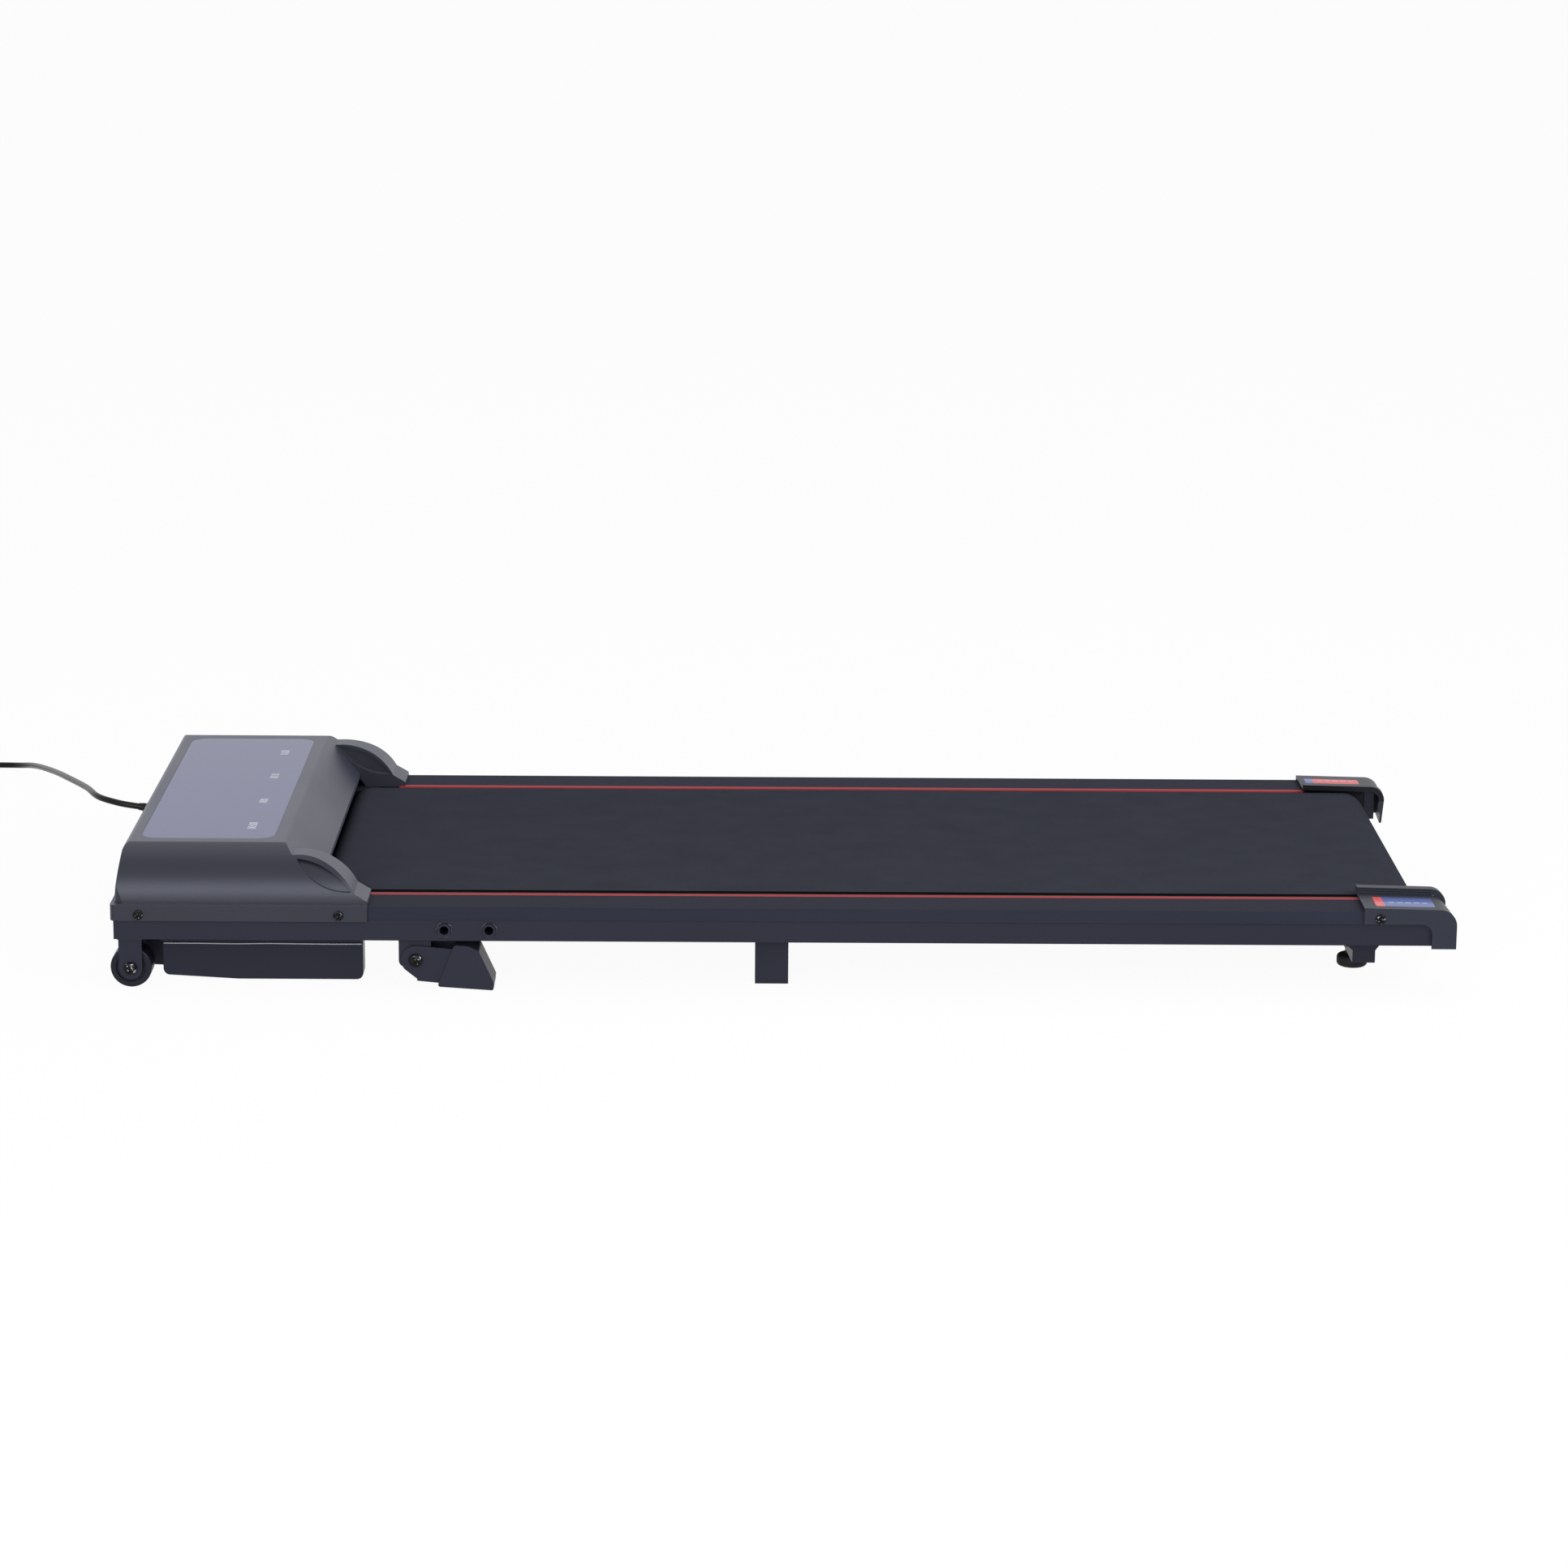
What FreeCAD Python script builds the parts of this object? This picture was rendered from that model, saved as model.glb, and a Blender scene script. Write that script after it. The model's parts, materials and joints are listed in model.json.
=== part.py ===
import FreeCAD, Part
import math
import os

# A low walking pad: a welded tube frame with a running belt over a deck, a motor hood at the front (-X),
# two end caps at the rear (+X), front wheels, folding incline feet, middle legs and rear rubber feet.
# Millimetres. Z is up from the floor, and the walker faces -X, so the left side is -Y.

os.makedirs("parts", exist_ok=True)
V = FreeCAD.Vector

# Gaps and fits
FACE_GAP = 0.3          # between neighbouring curved or moulded faces
RUN_FIT = 0.05          # radial gap of a shaft in its bore
SEAT_GAP = 0.15         # around a piece let into a pocket

# Frame
FRAME_UNDER = 46.5      # floor to the underside of the side tubes
TUBE_GAUGE = 231.0      # middle of the pad to the middle of a side tube
TUBE_W = 40.0
TUBE_H = 30.0
TUBE_WALL = 1.5
TUBE_FRONT = -593.2
TUBE_LENGTH = 1170.4
END_PLATE = 3.0
FRONT_PLATE = 4.6
FRONT_PLATE_DROP = 0.5  # top of the front plate below the tube tops
CROSS_W = 30.0
CROSS_H = 13.0
CROSS_FRONT = 253.2     # front deck tube behind the tubes' front ends
CROSS_REAR = 97.2       # rear deck tube ahead of the tubes' rear ends
MID_SHARE = 0.4977      # middle legs' place along the side tubes
MOTOR_TUBE = 20.0
MOTOR_TUBE_RISE = 3.5   # above the underside of the side tubes
MOTOR_TUBE_SETBACKS = (28.2, 141.2)

# Handrail bosses, two on the outside of each side tube
BOSS_SETBACK = 290.0
BOSS_PITCH = 40.0
BOSS_RISE = 10.1
BOSS_OD = 12.0
BOSS_BORE = 8.0
BOSS_PROUD = 2.5
BOSS_DEPTH = 11.5

# Foot rails and their red stripes
RAIL_T = 1.5
RAIL_OVERHANG = 7.0
RAIL_LIP = 11.7
RAIL_SETBACK = 216.2
STRIPE_W = 6.0
STRIPE_T = 0.5
STRIPE_GROOVE = 0.4
STRIPE_EDGE = 1.5
STRIPE_DROP = 2.6

# Running belt, rollers and deck
ROLLER_R = 20.0
AXLE_R = 7.5
BEARING_R = 16.0
BEARING_W = 9.0
BELT_T = 1.6
BELT_GAP = 0.3
BELT_PROUD = 0.8
BELT_EDGE_GAP = 16.0
ROLLER_MARGIN = 1.0
FRONT_ROLLER_SETBACK = 191.2
REAR_ROLLER_SETBACK = 21.2
AXLE_IN_TUBE = 9.0
TENSION_TRAVEL = 4.0
DECK_T = 12.0
DECK_EDGE_GAP = 0.7      # from the deck to the stripe's fold
DECK_FRONT_GAP = 30.0
DECK_REAR_GAP = 28.0
CUSHION_R = 12.0
CUSHION_IN = 46.0       # cushions inside the side tubes
DECK_SCREW_R = 2.5
DECK_SCREW_HEAD_R = 5.0
DECK_SCREW_LENGTH = 24.0

# Belt adjusters
ADJUSTER_R = 4.0
ADJUSTER_HEAD_R = 6.5
ADJUSTER_HEAD = 7.0
ADJUSTER_TAIL = 18.0
ADJUSTER_KEY = 2.9

# Drive
PULLEY_W = 9.5
ROLLER_PULLEY_R = 18.0
MOTOR_PULLEY_R = 9.0
DRIVE_BELT_W = 8.0
DRIVE_BELT_T = 2.0
PULLEY_END_GAP = 0.5
MOTOR_SETBACK = 84.7
MOTOR_Z = 62.0
MOTOR_R = 40.0
MOTOR_WALL = 3.0
MOTOR_LENGTH = 210.0
MOTOR_IN = 61.0         # motor's drive end inside the right side tube
ROTOR_R = 30.0
ROTOR_LENGTH = 120.0
SHAFT_R = 6.0
FAN_R = 34.0
FAN_W = 14.0
FAN_GAP = 4.0
FAN_BLADES = 9
SHAFT_TAIL = 2.0
SADDLE_W = 36.0
SADDLE_T = 3.0
SADDLE_TAB = 22.0
SADDLE_STEPS = (170.0, 40.0)    # motor clamps from the drive end
MOTOR_BOLT_R = 3.0
MOTOR_BOLT_HEAD_R = 5.0
MOTOR_BOLT_HEAD = 4.0
MOTOR_BOLT_DEPTH = 9.0

# Motor controller
CONTROLLER_SIDE = 16.0  # case inside the side tube
CONTROLLER_GAP = 8.0    # case beside the motor's fan
CONTROLLER_H = 26.0
CONTROLLER_PLATE = 2.0
CONTROLLER_X_INSET = 24.0
HEATSINK_FINS = 8
HEATSINK_FIN_T = 2.0
HEATSINK_FIN_H = 12.0

# Motor hood
HOOD_WALL = 3.0
FLANGE_WALL = 2.2
FLANGE_PROUD = 4.0      # side flange outside the side tubes
FLANGE_FRONT = 7.2      # front flange ahead of the side tubes
FLANGE_DROP = 12.0      # flange below the tube tops
FLANGE_RISE = 2.5       # flange above the tube tops
FLANGE_CORNER = 5.0
HOOD_TOP = 127.0
HOOD_SHOULDER = 38.0    # flat top inside the outer faces of the side tubes
HOOD_FOOT_INSET = 2.9   # front wall behind the flange at its foot
HOOD_LEAN = 6.5
HOOD_TOP_REAR = 147.2
HOOD_MOUTH_X = 176.7
HOOD_MOUTH_Z = 90.0
HOOD_EDGE_R = 6.0
HOOD_CORNER = 9.0
ARM_INNER = 5.0         # arm overhang inside the side tubes
ARM_WALL = 5.0
ARM_ROOT_X = 155.2
ARM_ROOT_Z = 119.5
ARM_CROWN_X = 192.2
ARM_CROWN_Z = 109.5
ARM_TIP_X = 209.9
ARM_TIP_Z = 89.0
ARM_END_X = 221.7
ARM_END_Z = 82.0
ARM_RIM = 2.6
ARM_DISH = 3.0
ARM_DISH_SAG = 8.0
HOOD_SCREW_R = 2.1
HOOD_SCREW_HEAD_R = 4.5
HOOD_SCREW_HEAD = 2.4
HOOD_SCREW_LENGTH = 12.0
HOOD_SCREW_SETBACKS = (18.2, 196.2)
HOOD_SCREW_DROP = 6.3

# Display in the hood's top
LENS_T = 1.5
LENS_SINK = 0.1
LENS_FRONT = 14.2
LENS_LENGTH = 120.0
LENS_MARGIN = 13.0
LENS_CORNER = 16.0
BOARD_T = 1.6
BOARD_INSET_X = 12.0
BOARD_INSET_Y = 50.0

# Motor tray
TRAY_SIDE = 14.0        # tray's side wall under the side tube
TRAY_WALL = 2.0
TRAY_FRONT = 35.7
TRAY_REAR = 215.2
TRAY_NOSE = 3.2
TRAY_NOSE_IN = 21.0     # nose inside the side tubes
TRAY_RECESS = 20.0
TRAY_RECESS_IN = 6.0    # rear recess inside the side tubes
TRAY_FLOOR = 3.0
TRAY_FLOOR_FRONT = 6.8
TRAY_KINK = 103.2
TRAY_FLANGE = 20.0
TRAY_FLANGE_T = 2.5
TRAY_BEAD = 2.2
TRAY_BEAD_Z = (33.2, 36.4)
TRAY_CORNER = 6.0
TRAY_MOUTH_Z = 31.0
TRAY_SCREW_R = 2.0
TRAY_SCREW_HEAD_R = 4.2
TRAY_SCREW_HEAD = 2.2
TRAY_SCREW_LENGTH = 10.0
TRAY_SCREW_SETBACKS = (60.0, 130.0, 200.0)

# Front wheels
WHEEL_R = 18.5
WHEEL_W = 24.0
WHEEL_SETBACK = 9.2
WHEEL_OUTSET = 0.5      # wheel's middle outside the middle of the side tube
WHEEL_TYRE = 5.0
WHEEL_SIDE_GAP = 0.5
FORK_W = 20.8
FORK_T = 3.0
WHEEL_BOLT_R = 4.0
WHEEL_BOLT_HEAD_R = 6.0
WHEEL_BOLT_HEAD = 4.5

# Incline feet, folded
PIVOT_SETBACK = 263.9
PIVOT_Z = 27.4
PIVOT_R = 4.0
PIVOT_HEAD_R = 6.2
PIVOT_HEAD = 3.6
EAR_INNER = 10.0
EAR_T = 3.2
EAR_FRONT = 15.2
EAR_REAR = 13.6
EAR_DROP = 7.2
EAR_CORNER = 6.0
LEG_T = 2.5
LEG_EYE = 13.0
LEG_HEEL = ((-8.4, -7.2), (1.2, -17.4), (1.2, -19.2))
LEG_TOP_END = (53.3, 8.4)
LEG_LOW_END = (53.3, -24.3)
LEG_WEB = 1.9
BOOT_SIDE = 1.8
BOOT_OUTLINE = ((34.5, 14.2), (46.5, 13.4), (56.6, 8.9), (70.0, -20.6), (69.6, -27.4), (19.2, -24.1))
BOOT_CORNERS = (3.0, 8.0, 5.0, 4.0, 2.0, 2.0)

# Middle legs and rear feet
MID_LEG_X = 30.0
MID_LEG_Y = 25.0
MID_LEG_IN = 14.0       # leg's inner face inside the side tube
MID_LEG_WALL = 1.8
LEG_PAD = 2.0
WELD_FLARE = 5.0
REAR_LEG_SETBACK = 54.5
REAR_FLARE_FRONT = 14.0
REAR_FLARE_REAR = 9.0
REAR_FLARE_H = 12.0
REAR_LEG_W = 20.5
REAR_LEG_T = 4.0
REAR_LEG_UNDER = 9.0    # plate's inner face under the side tube
REAR_LEG_REACH = 86.0
REAR_GUSSET_REACH = 36.0
PUCK_R = 14.0
PUCK_H = 23.0
PUCK_DISC = 11.0
PUCK_NECK_R = 6.5
PUCK_EDGE = 3.5
PUCK_IN = 61.0          # foot's middle inside the side tube

# End caps
CAP_WALL = 2.2
CAP_LENGTH = 83.1
CAP_OVERHANG = 23.4
CAP_SLANT = 3.0         # rear face ahead of the outer corner, at the belt side
CAP_RISE = 5.6
CAP_LIP = 9.5
CAP_TAIL = 22.0
CAP_TAIL_DROP = 2.0
CAP_ROLL = 15.0
CAP_FALL = 1.8          # top lower at its rear end
CAP_ARCH = 9.0
CAP_RIDGE_IN = 19.5
CAP_RIDGE_W = 10.0
CAP_RIDGE_RISE = 5.2
CAP_RIDGE_T = 5.2
CAP_RIDGE_ROLL = 13.5
CAP_SKIRT_Z = 72.0
CAP_KEY_R = 3.6
CAP_WEB_REACH = 10.0    # inner web behind the tube's end plate
CAP_WEB_LIFT = 2.0
CAP_GROOVE = 0.8
CAP_GROOVE_W = 1.0
CAP_SCREW_X = 14.5
CAP_SCREW_DROP = 4.4

# Mains lead, switch and plug
GLAND_Y = 72.0
GLAND_Z = 86.0
GLAND_R = 4.6
GLAND_FLANGE_R = 6.0
GLAND_FLANGE_T = 3.0
GLAND_TAIL = 20.5
GLAND_TAIL_R = 3.5
GLAND_INSIDE = 8.0
CORD_D = 6.0
CORD_SHARE = 0.45       # share of the shorter run that an arc takes at a point
CORD_FIRST_RUN = 14.0
CORD_ROUTE = (
    (-643.5, 76.5, 92.6), (-654.5, 85.5, 93.3), (-662.0, 98.5, 93.0), (-668.0, 117.0, 91.5),
    (-677.0, 153.0, 86.5), (-696.0, 218.0, 76.0), (-718.0, 294.0, 63.0), (-740.0, 373.0, 49.0),
    (-762.0, 448.0, 35.0), (-783.0, 516.0, 22.0), (-800.0, 564.0, 12.0), (-813.0, 584.0, 7.0),
    (-827.0, 594.0, 4.8), (-845.0, 597.2, 4.1), (-865.0, 598.0, 4.1), (-884.0, 598.0, 4.1),
)
COIL_PITCH = 6.6
COIL_INNER_R = 25.0
COIL_TURNS_IN = 2.5
COIL_TURNS_OUT = 2.75
COIL_CLIMB = 0.5
COIL_STEP = 0.25        # turns between the coil's worked out places
GAP_STEP = 2.0          # spacing of the points that the coil's gap is measured on
TIE_W = 14.0
TIE_T = 0.9
PLUG_L = 56.0
PLUG_W = 26.0
PLUG_H = 21.0
PLUG_NOSE = 30.0
PLUG_PIN_R = 2.4
PLUG_PIN_L = 19.0
PLUG_PIN_PITCH = 19.0
SWITCH_Y = 128.0
SWITCH_Z = 94.0
SWITCH_W = 26.0
SWITCH_H = 20.0
SWITCH_DEPTH = 16.0
SWITCH_RIM = 2.5
SWITCH_RIM_T = 1.6
ROCKER_R = 7.0
ROCKER_W = 17.0
ROCKER_TILT = 9.0
ROCKER_PIN_R = 1.5
ROCKER_PIN_L = 2.0
ROCKER_DEPTH = 3.0

# Places worked out from the sizes above
TUBE_IN = TUBE_GAUGE - TUBE_W / 2
TUBE_OUT = TUBE_GAUGE + TUBE_W / 2
TUBE_TOP = FRAME_UNDER + TUBE_H
TUBE_REAR = TUBE_FRONT + TUBE_LENGTH
RAIL_TOP = TUBE_TOP + RAIL_T
RAIL_OUT = TUBE_OUT + RAIL_T
RAIL_IN = TUBE_IN - RAIL_OVERHANG
RAIL_FRONT = TUBE_FRONT + RAIL_SETBACK
BELT_TOP = RAIL_TOP + BELT_PROUD
BELT_HALF = TUBE_IN - BELT_EDGE_GAP
BELT_R = ROLLER_R + BELT_GAP
ROLLER_Z = BELT_TOP - BELT_T - BELT_R
ROLLER_HALF = BELT_HALF + ROLLER_MARGIN
FRONT_ROLLER_X = TUBE_FRONT + FRONT_ROLLER_SETBACK
REAR_ROLLER_X = TUBE_REAR - REAR_ROLLER_SETBACK
DECK_TOP = BELT_TOP - BELT_T - BELT_GAP
DECK_UNDER = DECK_TOP - DECK_T
CUSHION_Y = TUBE_IN - CUSHION_IN
CROSS_TOP = FRAME_UNDER + CROSS_H
MOTOR_X = TUBE_FRONT + MOTOR_SETBACK
MOTOR_SIDE = TUBE_IN - MOTOR_IN
SADDLE_YS = tuple(MOTOR_SIDE - step for step in SADDLE_STEPS)
MOTOR_TUBE_TOP = FRAME_UNDER + MOTOR_TUBE_RISE + MOTOR_TUBE
PULLEY_Y = ROLLER_HALF
DRIVE_BELT_Y = PULLEY_Y + (PULLEY_W - DRIVE_BELT_W) / 2
FLANGE_OUT = TUBE_OUT + FLANGE_PROUD
FLANGE_X = TUBE_FRONT - FLANGE_FRONT
FLANGE_TOP = TUBE_TOP + FLANGE_RISE
FLANGE_LOW = TUBE_TOP - FLANGE_DROP
ARM_IN = TUBE_IN - ARM_INNER
ARM_END = TUBE_FRONT + ARM_END_X
HOOD_FOOT = FLANGE_X + HOOD_FOOT_INSET
HOOD_TOP_HALF = TUBE_OUT - HOOD_SHOULDER
HOOD_LEAN_ANGLE = math.degrees(math.atan2(HOOD_LEAN, HOOD_TOP - FLANGE_TOP))
HOOD_MOUTH = TUBE_FRONT + HOOD_MOUTH_X
LENS_X = TUBE_FRONT + LENS_FRONT
LENS_HALF = HOOD_TOP_HALF - LENS_MARGIN
TRAY_HALF = TUBE_IN + TRAY_SIDE
TRAY_NOSE_HALF = TUBE_IN - TRAY_NOSE_IN
TRAY_RECESS_HALF = TUBE_IN - TRAY_RECESS_IN
WHEEL_X = TUBE_FRONT + WHEEL_SETBACK
WHEEL_Y = TUBE_GAUGE + WHEEL_OUTSET
PIVOT_X = TUBE_FRONT + PIVOT_SETBACK
LEG_INNER = EAR_INNER + EAR_T + FACE_GAP
LEG_OUTER = LEG_INNER + LEG_T
BOOT_OUTER = LEG_OUTER + BOOT_SIDE
MID_CROSS_X = TUBE_FRONT + MID_SHARE * TUBE_LENGTH
CROSS_XS = (TUBE_FRONT + CROSS_FRONT, MID_CROSS_X, TUBE_REAR - CROSS_REAR)
REAR_LEG_X = TUBE_REAR - REAR_LEG_SETBACK
MID_LEG_INNER = TUBE_IN - MID_LEG_IN
REAR_LEG_Y = TUBE_IN + REAR_LEG_UNDER
PUCK_Y = TUBE_IN - PUCK_IN
CAP_END = TUBE_REAR + CAP_OVERHANG
CAP_FRONT = CAP_END - CAP_LENGTH
CAP_TOP = TUBE_TOP + CAP_RISE
CAP_OUT = FLANGE_OUT
CAP_LOW = FRAME_UNDER - CAP_TAIL_DROP
RIDGE_IN = TUBE_IN - CAP_RIDGE_IN
RIDGE_OUT = RIDGE_IN + CAP_RIDGE_W
RIDGE_TOP = CAP_TOP + CAP_RIDGE_RISE
BOTH_SIDES = (-1, 1)
FAR = 1000.0            # a length past everything, for cuts that run right through


def box(x0, x1, y0, y1, z0, z1):
    """Block between two corners."""
    return Part.makeBox(x1 - x0, y1 - y0, z1 - z0, V(x0, y0, z0))


def rod(radius, start, end):
    """Round bar between two points."""
    axis = end - start
    return Part.makeCylinder(radius, axis.Length, start, axis)


def rod_x(radius, x0, x1, y, z):
    """Round bar along X."""
    return rod(radius, V(x0, y, z), V(x1, y, z))


def rod_y(radius, y0, y1, x, z):
    """Round bar along Y."""
    return rod(radius, V(x, y0, z), V(x, y1, z))


def rod_z(radius, z0, z1, x, y):
    """Round bar along Z."""
    return rod(radius, V(x, y, z0), V(x, y, z1))


def mirrored(shape):
    """Copy of a left or right piece on the other side of the pad."""
    return shape.mirror(V(0, 0, 0), V(0, 1, 0))


def both(shape):
    """A piece and its copy on the other side."""
    return [shape, mirrored(shape)]


def side_wire(points, radii, y):
    """Closed outline in the XZ plane at one Y, with each corner rounded by its radius."""
    return corner_wire([V(x, y, z) for x, z in points], radii)


def plan_wire(points, radii, z):
    """Closed outline in the XY plane at one Z, with each corner rounded by its radius."""
    return corner_wire([V(x, y, z) for x, y in points], radii)


def corner_wire(corners, radii):
    """Closed wire through corners, where a corner with a radius becomes a tangent arc."""
    stops = []
    for index, (corner, radius) in enumerate(zip(corners, radii)):
        back = (corners[index - 1] - corner).normalize()
        ahead = (corners[(index + 1) % len(corners)] - corner).normalize()
        half = back.getAngle(ahead) / 2
        reach = radius / math.tan(half)
        middle = corner + (back + ahead).normalize() * (radius / math.sin(half) - radius)
        stops.append((corner + back * reach, middle, corner + ahead * reach, radius))
    edges = []
    for index, (start, middle, end, radius) in enumerate(stops):
        if radius > 0:
            edges.append(Part.Arc(start, middle, end).toShape())
        following = stops[(index + 1) % len(stops)][0]
        edges.append(Part.makeLine(end, following))
    return Part.Wire(edges)


def side_plate(points, radii, y0, y1):
    """Plate with an XZ outline, from y0 to y1."""
    return Part.Face(side_wire(points, radii, y0)).extrude(V(0, y1 - y0, 0))


def flat_plate(points, radii, z0, z1):
    """Plate with an XY outline, from z0 to z1."""
    return Part.Face(plan_wire(points, radii, z0)).extrude(V(0, 0, z1 - z0))


def rectangle(x0, x1, y0, y1):
    """Corners of a rectangle, in order."""
    return [(x0, y0), (x1, y0), (x1, y1), (x0, y1)]


def arc_wire(start, middle, end, *corners):
    """Closed wire: one arc through three points, then straight lines round the corners and back."""
    edges = [Part.Arc(start, middle, end).toShape()]
    here = end
    for corner in corners + (start,):
        edges.append(Part.makeLine(here, corner))
        here = corner
    return Part.Wire(edges)


def save(name, *solids):
    """Write one named piece, or a group of like pieces."""
    shape = solids[0] if len(solids) == 1 else Part.makeCompound(list(solids))
    shape.exportStep(f"parts/{name}.step")


def pan_screw(head_r, head, shank_r, length, seat, inward):
    """Pan head screw with a cross slot, seated at a point and pointing inward."""
    top = seat - inward * head
    screw = rod(head_r, top, seat).fuse(rod(shank_r, seat, seat + inward * length))
    rim = [edge for edge in screw.Edges if abs(edge.CenterOfMass.distanceToPoint(top)) < RUN_FIT]
    screw = screw.makeFillet(head / 2, rim)
    slot = head_r / 4
    across = V(0, 0, 1) if abs(inward.z) < slot else V(1, 0, 0)
    for turn in (0, 90):
        bar = Part.makeBox(head, slot, head_r, V(-head / 2, -slot / 2, -head_r / 2))
        bar.Placement = FreeCAD.Placement(top, FreeCAD.Rotation(inward, turn).multiply(
            FreeCAD.Rotation(inward, across.cross(inward), across, "XYZ")))
        screw = screw.cut(bar)
    return screw


def hood_screw_seats():
    """Points where the hood's flange screws meet the left flange."""
    z = TUBE_TOP - HOOD_SCREW_DROP
    return [V(TUBE_FRONT + setback, -FLANGE_OUT, z) for setback in HOOD_SCREW_SETBACKS]


def cap_screw_seat():
    """Point where the left end cap's screw meets its side."""
    return V(CAP_FRONT + CAP_SCREW_X, -CAP_OUT, TUBE_TOP - CAP_SCREW_DROP)


def boss_places():
    """Outer face centres of the left handrail bosses."""
    z = FRAME_UNDER + BOSS_RISE
    first = TUBE_FRONT + BOSS_SETBACK
    return [V(first + step * BOSS_PITCH, -TUBE_OUT, z) for step in (0, 1)]


def tray_screw_seats():
    """Points where the tray's flange screws meet the left flange from below."""
    y = -(TRAY_HALF + TRAY_FLANGE / 2)
    return [V(TUBE_FRONT + setback, y, FRAME_UNDER - TRAY_FLANGE_T) for setback in TRAY_SCREW_SETBACKS]


def side_tube():
    """Left side tube with its bored walls and rear end plate."""
    tube = box(TUBE_FRONT, TUBE_REAR, -TUBE_OUT, -TUBE_IN, FRAME_UNDER, TUBE_TOP)
    tube = tube.cut(box(TUBE_FRONT - FAR, TUBE_REAR, -TUBE_OUT + TUBE_WALL, -TUBE_IN - TUBE_WALL,
                        FRAME_UNDER + TUBE_WALL, TUBE_TOP - TUBE_WALL))
    tube = tube.fuse(box(TUBE_REAR, TUBE_REAR + END_PLATE, -TUBE_OUT, -TUBE_IN, FRAME_UNDER, TUBE_TOP))
    out, inside = -TUBE_OUT, -TUBE_OUT + TUBE_WALL
    cuts = [rod_y(BOSS_OD / 2 + RUN_FIT, out, inside, place.x, place.z) for place in boss_places()]
    for seat in hood_screw_seats() + [cap_screw_seat()]:
        cuts.append(rod_y(HOOD_SCREW_R + RUN_FIT, out, inside, seat.x, seat.z))
    for seat in tray_screw_seats():
        cuts.append(rod_z(TRAY_SCREW_R + RUN_FIT, FRAME_UNDER, FRAME_UNDER + TUBE_WALL, seat.x, seat.y))
    wall = (-TUBE_IN - TUBE_WALL, -TUBE_IN)
    bore = AXLE_R + RUN_FIT
    cuts.append(rod_y(bore, *wall, FRONT_ROLLER_X, ROLLER_Z))
    travel = TENSION_TRAVEL + FACE_GAP
    cuts.append(box(REAR_ROLLER_X - travel, REAR_ROLLER_X + travel, *wall, ROLLER_Z - bore, ROLLER_Z + bore))
    for end in (-travel, travel):
        cuts.append(rod_y(bore, *wall, REAR_ROLLER_X + end, ROLLER_Z))
    cuts.append(rod_x(ADJUSTER_R + RUN_FIT, TUBE_REAR, TUBE_REAR + END_PLATE, -TUBE_GAUGE, ROLLER_Z))
    return tube.cut(cuts)


def front_plate():
    """Plate across the front ends of the side tubes."""
    top = TUBE_TOP - FRONT_PLATE_DROP
    corner = MOTOR_TUBE / 4
    points = rectangle(-TUBE_OUT, TUBE_OUT, FRAME_UNDER, top)
    outline = corner_wire([V(TUBE_FRONT - FRONT_PLATE, y, z) for y, z in points], (0, 0, corner, corner))
    return Part.Face(outline).extrude(V(FRONT_PLATE, 0, 0))


def cross_tube(x, width, z0, z1):
    """Hollow tube between the side tubes."""
    outer = box(x - width / 2, x + width / 2, -TUBE_IN, TUBE_IN, z0, z1)
    half = width / 2 - TUBE_WALL
    return outer.cut(box(x - half, x + half, -FAR, FAR, z0 + TUBE_WALL, z1 - TUBE_WALL))


def motor_tube_xs():
    """Middles of the two tubes that carry the motor."""
    return [TUBE_FRONT + setback for setback in MOTOR_TUBE_SETBACKS]


def motor_bolt_places():
    """Middles of the motor clamp's bolts."""
    return [(x, y) for x in motor_tube_xs() for y in SADDLE_YS]


def motor_cross_tubes():
    """Tubes under the motor's clamp, drilled for its bolts."""
    low = FRAME_UNDER + MOTOR_TUBE_RISE
    tubes = []
    for x in motor_tube_xs():
        tube = cross_tube(x, MOTOR_TUBE, low, MOTOR_TUBE_TOP)
        holes = [rod_z(MOTOR_BOLT_R + RUN_FIT, MOTOR_TUBE_TOP - TUBE_WALL, MOTOR_TUBE_TOP, x, y)
                 for y in SADDLE_YS]
        tubes.append(tube.cut(holes))
    return tubes


def cushion_places():
    """Middles of the deck's cushions."""
    return [(x, side * CUSHION_Y) for x in CROSS_XS for side in BOTH_SIDES]


def deck_cross_tubes():
    """Tubes under the deck, drilled for its screws."""
    tubes = []
    for x in CROSS_XS:
        holes = [rod_z(DECK_SCREW_R + RUN_FIT, CROSS_TOP - TUBE_WALL, CROSS_TOP, x, side * CUSHION_Y)
                 for side in BOTH_SIDES]
        tubes.append(cross_tube(x, CROSS_W, FRAME_UNDER, CROSS_TOP).cut(holes))
    return tubes


def handrail_bosses():
    """Threaded bosses for a handrail's bolts."""
    bosses = []
    for place in boss_places():
        y0, y1 = place.y - BOSS_PROUD, place.y + BOSS_DEPTH
        boss = rod_y(BOSS_OD / 2, y0, y1, place.x, place.z)
        bosses += both(boss.cut(rod_y(BOSS_BORE / 2, y0, y1, place.x, place.z)))
    return bosses


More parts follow.
